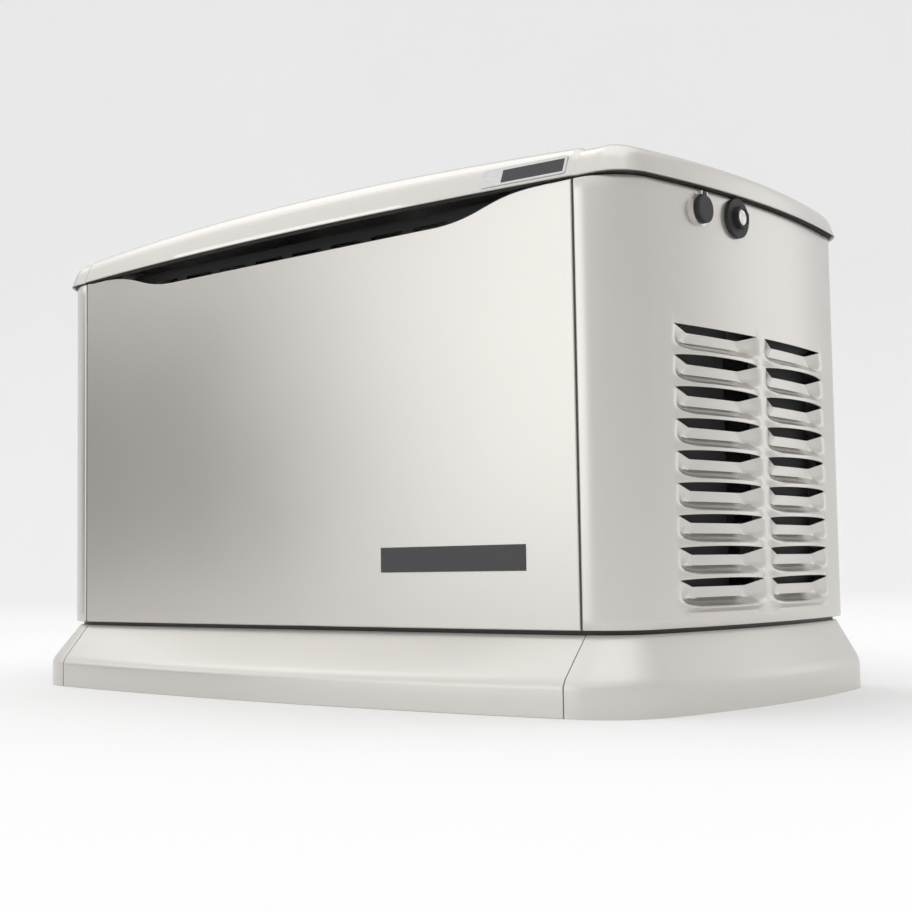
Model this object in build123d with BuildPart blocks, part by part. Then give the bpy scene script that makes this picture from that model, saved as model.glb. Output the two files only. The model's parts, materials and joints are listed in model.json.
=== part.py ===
from build123d import *
import os
from collections import namedtuple
from math import atan2, cos, degrees, hypot, radians, sin, sqrt, tan

# Home standby generator. Millimetres, +Z up, front towards -Y, origin on the floor under the middle.

# ---------------------------------------------------------------- driving dimensions

lid_length = 1218.0         # lid, end to end
lid_depth = 638.0           # lid, brow to rear edge
unit_height = 732.0         # floor to the crown of the lid
lid_rim_height = 675.0      # floor to the lid's lower edge
body_bottom = 104.0         # floor to the panels' lower edges
body_top = 672.0            # floor to the panels' upper edges
sheet = 2.0                 # folded panels
seam_half = 508.0           # middle to each front and rear seam
seam_gap = 3.0
flange = 18.0               # returns folded inwards round each panel

lid_overhang = 8.0          # lid past the body at the ends and the rear
brow_overhang = 31.0        # middle of the brow past the body's front corners
brow_bow = 34.0             # middle of the brow ahead of its sharp corners
lid_wall = 2.5
lid_lean = 20.0             # degrees that the lid's walls lean in
lid_edge_radius = 15.0
crown_radius = 12000.0
lid_side_radius = 1500.0
lid_front_corner = 60.0
lid_rear_corner = 60.0

body_front_bow = 7.0
body_side_radius = 1460.0
body_front_corner = 74.0
body_rear_corner = 58.0

fascia_length = 1270.0
fascia_depth = 727.0
fascia_bow = 42.0
fascia_side_radius = 1300.0
fascia_corner = 105.0
fascia_fold = 42.0          # height of the upright skirt
fascia_gap = 5.0            # open gap under the panels
fascia_tuck = 7.0           # fascia's upper edge inside the body's outline
fascia_wall = 3.0
fascia_clip_height = 30.0
fascia_clip_width = 24.0

tray_inset = 12.0           # tray wall inside the body's outline
tray_wall = 3.0
tray_floor_z = 26.0
anchor_x = 1080.0
anchor_y = 500.0
anchor_hole_r = 5.5

cutout_depth = 28.0         # dip in the front panel's upper edge
cutout_half = 270.0         # half width of its level part
cutout_run = 190.0          # length of each curved shoulder

louvre_count = 9
louvre_pitch = 40.8
louvre_top = 490.0          # upper edge of the first slit
louvre_width = 190.0
louvre_front_y = -188.0
louvre_column_gap = 20.0
louvre_slit = 13.0
louvre_push = 9.0           # blade's upper edge, inwards
louvre_lip = 8.5            # blade's lower edge, outwards
louvre_ramp = 38.0          # run of each blade's ramped end

lock_y = -128.0
lock_z = 644.0
lock_ring_r = 21.0
lock_ring_depth = 3.0
lock_barrel_r = 9.0
lock_cap_r = 18.5
lock_cap_depth = 7.0
running_fit = 0.05
free_gap = 0.6

lens_y = -46.0
lens_z = 645.0
lens_bezel_r = 27.0
lens_disc_depth = 6.0
lens_boss_r = 15.5          # octagonal boss round the lens, across its corners
lens_boss_depth = 13.0
lens_r = 11.5
lens_hole_r = 13.0

hinge_x = 380.0
hinge_axis_y = lid_depth / 2 + 7.5
hinge_axis_z = body_top + 1.0
hinge_pin_r = 2.5
hinge_knuckle_r = 5.0
hinge_knuckle = 22.0
hinge_leaf_width = 68.0
hinge_leaf = 2.0

crank_y = 20.0
crank_z = 250.0
crank_r = 17.0
crankcase_x = (-210.0, -30.0)
stator_x = (-10.0, 170.0)
stator_r = 115.0
rotor_gap = 1.0
rotor_r = 70.0
bell_x1 = 215.0
fan_x = (-262.0, -218.0)
fan_r = 118.0
cylinder_r = 52.0
bore_tilt = 45.0            # each cylinder from upright
cylinder_base = 82.0        # crank axis to the foot of a cylinder
cylinder_length = 88.0
cylinder_x = (-150.0, -92.0)
head_length = 62.0
muffler_x = -470.0
muffler_r = 72.0
muffler_half = 190.0
muffler_z = 210.0

partition_x = 262.0
control_box_x = (300.0, 560.0)
control_box_y = (-205.0, 95.0)
control_box_z = (470.0, 628.0)
key_size = 16.0
key_travel = 3.0
key_names = ("key_up", "key_down", "key_enter")
battery_size = (208.0, 173.0, 192.0)
battery_at = (425.0, -150.0)
regulator_at = (380.0, 215.0)
fuel_z = 150.0
fuel_pipe_r = 13.35
conduit_r = 14.0
conduit_x = (300.0, 360.0)
conduit_z = 190.0

tray_floor_top = tray_floor_z + tray_wall
body_half = lid_length / 2 - lid_overhang
body_front_y = -(lid_depth / 2 - brow_overhang)
body_rear_y = lid_depth / 2 - lid_overhang
panel_height = body_top - body_bottom
louvre_foot = louvre_top - louvre_count * louvre_pitch

os.makedirs("parts", exist_ok=True)


# ---------------------------------------------------------------- outlines


def side_at(half_length, radius, y):
    """Half width of a bowed side at a depth y from the middle."""
    return half_length - radius + sqrt(radius**2 - y**2)


Outline = namedtuple(
    "Outline", "half_length side_radius front_y front_bow rear_y rear_bow front_corner rear_corner"
)


def bowed_corner(outline, y, bow, inside):
    """Corner and middle of a bowed front or rear edge, the whole outline moved inwards by inside."""
    outward = 1 if y > 0 else -1
    corner_x = side_at(outline.half_length, outline.side_radius, y)
    if bow == 0:
        y = y - outward * inside
        return side_at(outline.half_length - inside, outline.side_radius - inside, y), y, y
    radius = (corner_x**2 + bow**2) / (2 * bow)
    centre_y = y + outward * (bow - radius)
    centre_x = outline.half_length - outline.side_radius
    side_r, edge_r = outline.side_radius - inside, radius - inside
    apart = hypot(centre_x, centre_y)
    along = (edge_r**2 - side_r**2 + apart**2) / (2 * apart)
    off = sqrt(edge_r**2 - along**2)
    toward_x, toward_y = centre_x / apart, -centre_y / apart
    meets = [
        (along * toward_x - turn * off * toward_y, centre_y + along * toward_y + turn * off * toward_x)
        for turn in (-1, 1)
    ]
    x, y_corner = max(meets)
    return x, y_corner, centre_y + outward * edge_r


def bowed_plan(outline, inside=0):
    """Closed plan face: four bowed edges and four rounded corners."""
    front_x, front_y, front_mid = bowed_corner(outline, outline.front_y, outline.front_bow, inside)
    rear_x, rear_y, rear_mid = bowed_corner(outline, outline.rear_y, outline.rear_bow, inside)
    half_length = outline.half_length - inside
    with BuildSketch() as plan:
        with BuildLine():
            ThreePointArc((-front_x, front_y), (0, front_mid), (front_x, front_y))
            ThreePointArc((front_x, front_y), (half_length, 0), (rear_x, rear_y))
            if outline.rear_bow > 0:
                ThreePointArc((rear_x, rear_y), (0, rear_mid), (-rear_x, rear_y))
            else:
                Line((rear_x, rear_y), (-rear_x, rear_y))
            ThreePointArc((-rear_x, rear_y), (-half_length, 0), (-front_x, front_y))
        make_face()
        fillet(plan.vertices().group_by(Axis.Y)[0], outline.front_corner - inside)
        fillet(plan.vertices().group_by(Axis.Y)[-1], outline.rear_corner - inside)
    return plan.sketch


body_outline = Outline(
    body_half, body_side_radius, body_front_y, body_front_bow, body_rear_y, 0,
    body_front_corner, body_rear_corner,
)
lid_outline = Outline(
    lid_length / 2, lid_side_radius, brow_bow - lid_depth / 2, brow_bow, lid_depth / 2, 0,
    lid_front_corner, lid_rear_corner,
)
fascia_outline = Outline(
    fascia_length / 2, fascia_side_radius, fascia_bow - fascia_depth / 2, fascia_bow,
    fascia_depth / 2 - fascia_bow, fascia_bow, fascia_corner, fascia_corner,
)
body_plan = bowed_plan(body_outline)
body_inner = bowed_plan(body_outline, sheet)
body_flange = bowed_plan(body_outline, flange)
lid_plan = bowed_plan(lid_outline)
fascia_plan = bowed_plan(fascia_outline)


def save(piece, name):
    """Label a finished piece and write its STEP file."""
    piece.part.label = name
    export_step(piece.part, f"parts/{name}.step")


def across(x_plane, outward=1):
    """Plane facing along X at x_plane, with its own x along Y and its own y along Z."""
    if outward > 0:
        return Plane(origin=(x_plane, 0, 0), x_dir=(0, 1, 0), z_dir=(1, 0, 0))
    return Plane(origin=(x_plane, 0, 0), x_dir=(0, -1, 0), z_dir=(-1, 0, 0))


# ---------------------------------------------------------------- fascia round the base

fascia_top_z = body_bottom - fascia_gap
fascia_top_plan = bowed_plan(body_outline, fascia_tuck)

with BuildPart() as fascia_outer:
    with BuildSketch():
        add(fascia_plan)
    extrude(amount=fascia_fold)
    with BuildSketch(Plane.XY.offset(fascia_fold)):
        add(fascia_plan)
    with BuildSketch(Plane.XY.offset(fascia_top_z)):
        add(fascia_top_plan)
    loft(ruled=True)

with BuildPart() as fascia_inner:
    with BuildSketch():
        add(bowed_plan(fascia_outline, fascia_wall))
    extrude(amount=fascia_fold - fascia_wall / 2)
    with BuildSketch(Plane.XY.offset(fascia_fold - fascia_wall / 2)):
        add(bowed_plan(fascia_outline, fascia_wall))
    with BuildSketch(Plane.XY.offset(fascia_top_z)):
        add(bowed_plan(body_outline, fascia_tuck + fascia_wall))
    loft(ruled=True)

with BuildPart() as fascia_ring:
    add(fascia_outer.part)
    add(fascia_inner.part, mode=Mode.SUBTRACT)


def fascia_piece(name, low_x, high_x, low_y, high_y):
    """One piece of the fascia ring, cut out between two seams."""
    with BuildPart() as piece:
        add(fascia_ring.part)
        with Locations(((low_x + high_x) / 2, (low_y + high_y) / 2, body_bottom / 2)):
            Box(high_x - low_x, high_y - low_y, body_bottom, mode=Mode.INTERSECT)
    save(piece, name)


fascia_seam = seam_half + seam_gap
fascia_piece("fascia_front", -fascia_seam + 1, fascia_seam - 1, -fascia_depth, 0)
fascia_piece("fascia_rear", -fascia_seam + 1, fascia_seam - 1, 0, fascia_depth)
fascia_piece("fascia_left", -fascia_length, -fascia_seam, -fascia_depth, fascia_depth)
fascia_piece("fascia_right", fascia_seam, fascia_length, -fascia_depth, fascia_depth)

# ---------------------------------------------------------------- base tray

tray_outer = bowed_plan(body_outline, tray_inset)
tray_inner = bowed_plan(body_outline, tray_inset + tray_wall)
tray_rim = bowed_plan(body_outline, tray_inset + flange)
clip_x = 300.0
clip_y = 130.0

with BuildPart() as tray_block:
    with BuildSketch():
        add(tray_outer)
    extrude(amount=body_bottom)

with BuildPart() as fascia_clips:
    with Locations((0, 0, fascia_wall + fascia_clip_height / 2)):
        with GridLocations(2 * clip_x, fascia_depth, 2, 2):
            Box(fascia_clip_width, fascia_depth / 2, fascia_clip_height)
        with GridLocations(fascia_length, 2 * clip_y, 2, 2):
            Box(fascia_length / 2, fascia_clip_width, fascia_clip_height)
    add(fascia_inner.part, mode=Mode.INTERSECT)
    add(tray_block.part, mode=Mode.SUBTRACT)

with BuildPart() as base_tray:
    with BuildSketch():
        add(tray_outer)
        add(tray_inner, mode=Mode.SUBTRACT)
    extrude(amount=body_bottom)
    with BuildSketch(Plane.XY.offset(tray_floor_z)):
        add(tray_outer)
    extrude(amount=tray_wall)
    with BuildSketch(Plane.XY.offset(body_bottom - tray_wall)):
        add(tray_outer)
        add(tray_rim, mode=Mode.SUBTRACT)
    extrude(amount=tray_wall)
    with Locations((0, 0, tray_floor_top)):
        with GridLocations(anchor_x, anchor_y, 2, 2):
            Hole(anchor_hole_r, depth=2 * tray_wall)
    add(fascia_clips.part)
save(base_tray, "base_tray")

# ---------------------------------------------------------------- panels

with BuildPart() as panel_skin:
    with BuildSketch(Plane.XY.offset(body_bottom)):
        add(body_plan)
        add(body_inner, mode=Mode.SUBTRACT)
    extrude(amount=panel_height)
    with BuildSketch(Plane.XY.offset(body_bottom), Plane.XY.offset(body_top - sheet)):
        add(body_plan)
        add(body_flange, mode=Mode.SUBTRACT)
    extrude(amount=sheet)


def cutout_edge(drop):
    """Upper edge of the front panel, from its left end to its right end, moved down by drop."""
    high = body_top - drop
    low = high - cutout_depth
    shoulder = cutout_half + cutout_run
    reach = cutout_run * 0.5
    end = seam_half
    Line((-end, high), (-shoulder, high))
    Bezier((-shoulder, high), (-shoulder + reach, high), (-cutout_half - reach, low), (-cutout_half, low))
    Line((-cutout_half, low), (cutout_half, low))
    Bezier((cutout_half, low), (cutout_half + reach, low), (shoulder - reach, high), (shoulder, high))
    Line((shoulder, high), (end, high))


def front_block(plan, half_width, bottom, drop, back_y):
    """Solid behind the front outline, under the cut-out edge."""
    with BuildPart() as block:
        with BuildSketch(Plane.XY.offset(bottom)):
            add(plan)
            with Locations((0, (back_y - lid_depth) / 2)):
                Rectangle(2 * half_width, back_y + lid_depth, mode=Mode.INTERSECT)
        extrude(amount=body_top)
        with BuildSketch(Plane.XZ):
            with BuildLine():
                cutout_edge(drop)
                Line((seam_half, body_top - drop), (seam_half, 0))
                Line((seam_half, 0), (-seam_half, 0))
                Line((-seam_half, 0), (-seam_half, body_top - drop))
            make_face()
        extrude(amount=lid_depth, mode=Mode.INTERSECT)
    return block.part


front_half = seam_half - seam_gap / 2
front_flange_y = body_front_y + flange
panel_edge_radius = 1.5

front_outer = front_block(body_plan, front_half, body_bottom, 0, front_flange_y)
front_hollow = front_block(
    body_inner, front_half - sheet, body_bottom + sheet, sheet, front_flange_y + sheet
)

with BuildPart() as front_panel:
    add(front_outer)
    add(front_hollow, mode=Mode.SUBTRACT)
    fillet(front_panel.faces().sort_by(SortBy.AREA)[-1].edges(), panel_edge_radius)
save(front_panel, "front_panel")

# Louvre blades stand on the arc of the side panel, so they are turned about its centre.
side_centre_x = body_half - body_side_radius
side_axis = Axis((side_centre_x, 0, 0), (0, 0, 1))


def side_plane(y):
    """Upright plane through the side arc's centre, its own x counted outwards from that centre."""
    angle = atan2(y, sqrt(body_side_radius**2 - y**2))
    return Plane(
        origin=(side_centre_x, 0, 0),
        x_dir=(cos(angle), sin(angle), 0),
        z_dir=(sin(angle), -cos(angle), 0),
    )


def blade_section(top, push, lip, slit):
    """Blade section: upper edge pushed in, lower edge rolled out, one sheet thick."""
    base = body_side_radius
    upper = top - slit
    lower = top - louvre_pitch
    mid = (upper + lower) / 2
    with BuildSketch() as section:
        with BuildLine():
            Bezier((base - push, upper), (base - push, mid), (base + lip, mid), (base + lip, lower))
            Line((base + lip, lower), (base + lip - sheet, lower))
            Bezier(
                (base + lip - sheet, lower), (base + lip - sheet, mid),
                (base - push - sheet, mid), (base - push - sheet, upper),
            )
            Line((base - push - sheet, upper), (base - push, upper))
        make_face()
    return section.sketch


def louvre_column(y_start):
    """Blades of one column: a turned middle with a ramp at both ends, repeated downwards."""
    y_end = y_start + louvre_width
    span = degrees((louvre_width - 2 * louvre_ramp) / body_side_radius)
    with BuildPart() as blade:
        with BuildSketch(side_plane(y_start + louvre_ramp)):
            add(blade_section(louvre_top, louvre_push, louvre_lip, louvre_slit))
        revolve(axis=side_axis, revolution_arc=span)
        for near, far in ((y_start, y_start + louvre_ramp), (y_end, y_end - louvre_ramp)):
            with BuildSketch(side_plane(near)):
                add(blade_section(louvre_top, 0, 0, 0))
            with BuildSketch(side_plane(far)):
                add(blade_section(louvre_top, louvre_push, louvre_lip, louvre_slit))
            loft()
    return [Pos(0, 0, -row * louvre_pitch) * blade.part for row in range(louvre_count)]


window_edge = 1.5
louvre_starts = (louvre_front_y, louvre_front_y + louvre_width + louvre_column_gap)
louvre_blades = [blade for start in louvre_starts for blade in louvre_column(start)]
side_seam = seam_half + seam_gap / 2


def side_panel(name, with_lens, mirrored):
    """Side panel wrapping both corners up to the seams, with its louvres and lock hole."""
    with BuildPart() as panel:
        add(panel_skin.part)
        with BuildSketch(Plane.XY.offset(body_bottom)):
            add(body_plan)
            with Locations((side_seam + sheet / 2, body_front_y), (side_seam + sheet / 2, body_rear_y)):
                Rectangle(sheet, 2 * flange, mode=Mode.INTERSECT)
        extrude(amount=panel_height)
        split(bisect_by=Plane.YZ.offset(side_seam), keep=Keep.TOP)
        with Locations([
            (body_half, start + louvre_width / 2, (louvre_top + louvre_foot) / 2) for start in louvre_starts
        ]):
            Box(
                100, louvre_width - 2 * window_edge, louvre_top - louvre_foot - 2 * window_edge / 2,
                mode=Mode.SUBTRACT,
            )
        add(louvre_blades)
        with BuildSketch(across(body_half - 50)):
            with Locations((lock_y, lock_z)):
                Circle(lock_barrel_r + free_gap)
            if with_lens:
                with Locations((lens_y, lens_z)):
                    Circle(lens_hole_r)
        extrude(amount=100, mode=Mode.SUBTRACT)
    if mirrored:
        with BuildPart() as panel_left:
            add(mirror(panel.part, about=Plane.YZ))
        save(panel_left, name)
    else:
        save(panel, name)


side_panel("right_side_panel", True, False)
side_panel("left_side_panel", False, True)

back_half = seam_half - seam_gap / 2

with BuildPart() as back_panel:
    with Locations((0, body_rear_y - sheet / 2, (body_bottom + body_top) / 2)):
        Box(2 * back_half, sheet, panel_height)
    with Locations(
        (0, body_rear_y - flange / 2, body_bottom + sheet / 2),
        (0, body_rear_y - flange / 2, body_top - sheet / 2),
    ):
        Box(2 * back_half, flange, sheet)
    with Locations(
        (-back_half + sheet / 2, body_rear_y - flange / 2, (body_bottom + body_top) / 2),
        (back_half - sheet / 2, body_rear_y - flange / 2, (body_bottom + body_top) / 2),
    ):
        Box(sheet, flange, panel_height)
    with BuildSketch(Plane.XZ.offset(-body_rear_y)):
        with Locations([(x, conduit_z) for x in conduit_x]):
            Circle(conduit_r)
        with Locations((regulator_at[0] + 70, fuel_z)):
            Circle(fuel_pipe_r + 1.5)
    extrude(amount=2 * sheet, both=True, mode=Mode.SUBTRACT)
save(back_panel, "back_panel")

# Air inlet behind the cut-out: a dark channel between the two side panels' front returns.
baffle_bottom = 560.0
baffle_y = front_flange_y + 6.0
baffle_shelf = 54.0
slot_width = 60.0
slot_count = 11

with BuildPart() as air_inlet_baffle:
    with Locations((0, baffle_y + sheet / 2, (baffle_bottom + body_top) / 2)):
        Box(2 * side_seam, sheet, body_top - baffle_bottom)
    with Locations((0, baffle_y + baffle_shelf / 2, baffle_bottom + sheet / 2)):
        Box(2 * side_seam, baffle_shelf, sheet)
    with Locations((0, baffle_y, (body_top + body_top - 2 * cutout_depth) / 2)):
        with GridLocations(slot_width + 22, 1, slot_count, 1):
            Box(slot_width, 4 * sheet, cutout_depth, mode=Mode.SUBTRACT)
save(air_inlet_baffle, "air_inlet_baffle")

# ---------------------------------------------------------------- lid

lid_rise = unit_height - lid_rim_height + 5   # walls are drawn past the crown that trims them


def crowned(inside, edge_radius):
    """Solid under the lid's surface moved inwards by inside: leaning walls and a crowned roof."""
    with BuildPart() as shape:
        with BuildSketch(Plane.XY.offset(lid_rim_height)):
            add(bowed_plan(lid_outline, inside))
        with BuildSketch(Plane.XY.offset(lid_rim_height + lid_rise)):
            add(bowed_plan(lid_outline, inside + lid_rise * tan(radians(lid_lean))))
        loft(ruled=True)
        with Locations((0, 0, unit_height - inside - crown_radius)):
            Sphere(crown_radius, rotation=(90, 0, 0), mode=Mode.INTERSECT)
        fillet(shape.faces().sort_by(Axis.Z)[-1].edges(), edge_radius)
    return shape.part


lid_shell_outer = crowned(0, lid_edge_radius)
lid_shell_inner = crowned(lid_wall, lid_edge_radius - lid_wall)

# Welded catches that the lock cams turn over, one at each end.
catch_x = 566.0
catch_y = -100.0
catch_width = 18.0
catch_sheet = 3.0
catch_ledge = 9.0
catch_bottom = 628.0
catch_arm_z = 692.0

lid_mid_wall = crowned(lid_wall / 2, lid_edge_radius)

with BuildPart() as lid_catch:
    with BuildSketch(Plane.XZ.offset(-catch_y - catch_width / 2)):
        with Locations((catch_x - catch_sheet / 2, (catch_bottom + catch_arm_z) / 2)):
            Rectangle(catch_sheet, catch_arm_z - catch_bottom)
        with Locations((catch_x + catch_ledge / 2, catch_bottom + catch_sheet / 2)):
            Rectangle(catch_ledge, catch_sheet)
        with Locations((catch_x + 25, catch_arm_z - catch_sheet / 2)):
            Rectangle(50 + 2 * catch_sheet, catch_sheet)
    extrude(amount=catch_width)
    add(lid_mid_wall, mode=Mode.INTERSECT)

with BuildPart() as lid:
    add(lid_shell_outer)
    add(lid_shell_inner, mode=Mode.SUBTRACT)
    add(lid_catch.part)
    add(mirror(lid_catch.part, about=Plane.YZ))
save(lid, "lid")

badge_x = 435.0
badge_z = 692.0
badge_width = 130.0
badge_height = 25.0
badge_thick = 1.2

with BuildPart() as lid_badge:
    add(crowned(-badge_thick, lid_edge_radius))
    with BuildSketch(Plane.XZ.offset(lid_depth / 4)):
        with Locations((badge_x, badge_z)):
            RectangleRounded(badge_width, badge_height, 3)
    extrude(amount=lid_depth / 2, mode=Mode.INTERSECT)
    add(lid_shell_outer, mode=Mode.SUBTRACT)
save(lid_badge, "lid_badge")

nameplate_x = 300.0
nameplate_z = 196.0
nameplate_width = 250.0
nameplate_height = 34.0
nameplate_thick = 1.0

with BuildPart() as front_nameplate:
    with BuildSketch(Plane.XY.offset(nameplate_z - nameplate_height / 2)):
        add(bowed_plan(body_outline, -nameplate_thick))
        add(body_plan, mode=Mode.SUBTRACT)
        with Locations((nameplate_x, body_front_y)):
            Rectangle(nameplate_width, 4 * body_front_bow, mode=Mode.INTERSECT)
    extrude(amount=nameplate_height)
save(front_nameplate, "front_nameplate")

seal_thick = 9.0
seal_bottom = body_top + 1.5
seal_height = 9.0
seal_inset = lid_wall + 4.0

with BuildPart() as lid_seal:
    with BuildSketch(Plane.XY.offset(seal_bottom)):
        add(bowed_plan(lid_outline, seal_inset))
    extrude(amount=seal_height)
    with BuildSketch(Plane.XY.offset(seal_bottom)):
        add(bowed_plan(lid_outline, seal_inset + seal_thick))
    extrude(amount=seal_height, mode=Mode.SUBTRACT)
save(lid_seal, "lid_seal")

# ---------------------------------------------------------------- hinges along the rear edge

knuckle_gap = 0.5
fixed_leaf_y = body_rear_y
lid_leaf_y = lid_depth / 2
lid_leaf_height = 26.0
lean_back = lid_leaf_height * tan(radians(lid_lean))
hinge_places = [(side * hinge_x, 0, 0) for side in (-1, 1)]
middle_knuckle = hinge_leaf_width - 2 * hinge_knuckle - 2 * knuckle_gap


def knuckles(spans):
    """Hinge barrels on the rear axis, one for each span of x."""
    with BuildPart() as barrels:
        for low, high in spans:
            with BuildSketch(Plane.YZ.offset(low)):
                with Locations((hinge_axis_y, hinge_axis_z)):
                    Circle(hinge_knuckle_r)
            extrude(amount=high - low)
    return barrels.part


with BuildPart() as hinge_bore:
    with BuildSketch(Plane.YZ.offset(-hinge_leaf_width)):
        with Locations((hinge_axis_y, hinge_axis_z)):
            Circle(hinge_pin_r + running_fit)
    extrude(amount=2 * hinge_leaf_width)

with BuildPart() as fixed_leaf:
    with Locations((0, fixed_leaf_y + hinge_leaf / 2, hinge_axis_z - hinge_knuckle_r - 22)):
        Box(hinge_leaf_width, hinge_leaf, 34)
    with Locations((0, (fixed_leaf_y + hinge_axis_y) / 2, hinge_axis_z - hinge_knuckle_r + hinge_leaf / 2 - 0.4)):
        Box(middle_knuckle, hinge_axis_y - fixed_leaf_y, hinge_leaf)
    with Locations((0, fixed_leaf_y + hinge_leaf / 2, hinge_axis_z - hinge_knuckle_r - 3)):
        Box(middle_knuckle, hinge_leaf, 8)
    add(knuckles([(-middle_knuckle / 2, middle_knuckle / 2)]))
    add(hinge_bore.part, mode=Mode.SUBTRACT)

with BuildPart() as lid_leaf:
    with BuildSketch(Plane.YZ.offset(-hinge_leaf_width / 2)):
        with BuildLine():
            Polyline(
                (lid_leaf_y, lid_rim_height),
                (lid_leaf_y + hinge_leaf, lid_rim_height),
                (lid_leaf_y + hinge_leaf - lean_back, lid_rim_height + lid_leaf_height),
                (lid_leaf_y - lean_back, lid_rim_height + lid_leaf_height),
                close=True,
            )
        make_face()
    extrude(amount=hinge_leaf_width)
    for side in (-1, 1):
        with Locations((
            side * (hinge_leaf_width - hinge_knuckle) / 2,
            (lid_leaf_y + hinge_axis_y) / 2,
            hinge_axis_z + hinge_knuckle_r - hinge_leaf / 2 + 0.4,
        )):
            Box(hinge_knuckle, hinge_axis_y - lid_leaf_y, hinge_leaf)
    add(knuckles([
        (-hinge_leaf_width / 2, -hinge_leaf_width / 2 + hinge_knuckle),
        (hinge_leaf_width / 2 - hinge_knuckle, hinge_leaf_width / 2),
    ]))
    add(hinge_bore.part, mode=Mode.SUBTRACT)

with BuildPart() as hinge_pin:
    with BuildSketch(Plane.YZ.offset(-hinge_leaf_width / 2)):
        with Locations((hinge_axis_y, hinge_axis_z)):
            Circle(hinge_pin_r)
    extrude(amount=hinge_leaf_width)

for leaf, name in (
    (fixed_leaf, "hinge_fixed_leaves"), (lid_leaf, "hinge_lid_leaves"), (hinge_pin, "hinge_pins"),
):
    with BuildPart() as pair:
        with Locations(hinge_places):
            add(leaf.part)
    save(pair, name)

# ---------------------------------------------------------------- locks and status light

with BuildPart() as body_block:
    with BuildSketch():
        add(body_plan)
    extrude(amount=unit_height)

lock_face_x = side_at(body_half, body_side_radius, lock_y) + lock_ring_depth
lock_root_x = lock_face_x - 4 * lock_ring_depth
cap_back_x = lock_face_x + 0.6
cap_pivot_x = cap_back_x + 2.6
cap_pivot_z = lock_z + lock_cap_r + 2.5
cap_pin_r = 1.2
cap_tab_width = 9.0
lug_width = 2.5
lug_gap = 0.5
cam_x = 572.0
cam_thick = 3.0
cam_width = 14.0
cam_reach = 30.0


def lock(prefix, mirrored):
    """Escutcheon with lugs and pin, barrel with its cam, and the flip-up dust cap."""
    with BuildPart() as escutcheon:
        with BuildSketch(across(lock_root_x)):
            with Locations((lock_y, lock_z)):
                Circle(lock_ring_r)
        extrude(amount=lock_face_x - lock_root_x)
        for side in (-1, 1):
            with Locations((
                cap_pivot_x - 1, lock_y + side * (cap_tab_width / 2 + lug_gap + lug_width / 2), cap_pivot_z,
            )):
                Box(6, lug_width, 4.8)
        with BuildSketch(across(lock_root_x)):
            with Locations((lock_y, lock_z)):
                Circle(lock_barrel_r + running_fit)
        extrude(amount=unit_height, mode=Mode.SUBTRACT)
        with BuildSketch(Plane.XZ.offset(-lock_y - cap_tab_width / 2 - lug_gap - lug_width)):
            with Locations((cap_pivot_x, cap_pivot_z)):
                Circle(cap_pin_r)
        extrude(amount=cap_tab_width + 2 * lug_gap + 2 * lug_width)
        add(body_block.part, mode=Mode.SUBTRACT)
    with BuildPart() as barrel:
        with BuildSketch(across(cam_x)):
            with Locations((lock_y, lock_z)):
                Circle(lock_barrel_r)
        extrude(amount=lock_face_x - 0.6 - cam_x)
        with Locations((cam_x + cam_thick / 2, lock_y, lock_z - cam_reach / 2)):
            Box(cam_thick, cam_width, cam_reach)
        with Locations((lock_face_x - 0.6, lock_y, lock_z)):
            Box(4, 2, 10, mode=Mode.SUBTRACT)
    with BuildPart() as cap:
        with BuildSketch(across(cap_back_x)):
            with Locations((lock_y, lock_z)):
                Circle(lock_cap_r)
        extrude(amount=lock_cap_depth)
        fillet(cap.faces().sort_by(Axis.X)[-1].edges(), 2)
        with Locations((cap_pivot_x, lock_y, cap_pivot_z - 2)):
            Box(5.2, cap_tab_width, 6)
        with BuildSketch(Plane.XZ.offset(-lock_y - cap_tab_width / 2)):
            with Locations((cap_pivot_x, cap_pivot_z)):
                Circle(2.6)
        extrude(amount=cap_tab_width)
        with BuildSketch(Plane.XZ.offset(-lock_y - cap_tab_width)):
            with Locations((cap_pivot_x, cap_pivot_z)):
                Circle(cap_pin_r + running_fit)
        extrude(amount=2 * cap_tab_width, mode=Mode.SUBTRACT)
    for piece, name in ((escutcheon, "escutcheon"), (barrel, "barrel"), (cap, "cap")):
        with BuildPart() as placed:
            add(mirror(piece.part, about=Plane.YZ) if mirrored else piece.part)
        save(placed, f"{prefix}_lock_{name}")


lock("right", False)
lock("left", True)

lens_face_x = side_at(body_half, body_side_radius, lens_y)

with BuildPart() as status_bezel:
    with BuildSketch(across(lens_face_x - 2)):
        with Locations((lens_y, lens_z)):
            Circle(lens_bezel_r)
    extrude(amount=lens_disc_depth + 2)
    fillet(status_bezel.faces().sort_by(Axis.X)[-1].edges(), 1.5)
    with BuildSketch(across(lens_face_x - 2)):
        with Locations((lens_y, lens_z)):
            RegularPolygon(lens_boss_r, 8, rotation=22.5)
    extrude(amount=lens_boss_depth + 2)
    with BuildSketch(across(lens_face_x - 2)):
        with Locations((lens_y, lens_z)):
            Circle(lens_r)
    extrude(amount=unit_height, mode=Mode.SUBTRACT)
    add(body_block.part, mode=Mode.SUBTRACT)
save(status_bezel, "status_light_bezel")

with BuildPart() as status_lens:
    with BuildSketch(across(lens_face_x - 12)):
        with Locations((lens_y, lens_z)):
            Circle(lens_r)
    extrude(amount=12 + lens_boss_depth - 1.5)
    fillet(status_lens.faces().sort_by(Axis.X)[-1].edges(), 2)
save(status_lens, "status_light_lens")

# ---------------------------------------------------------------- partition and engine

hose_hole_y = 215.0
hose_z = 430.0
hose_r = 9.0

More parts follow.
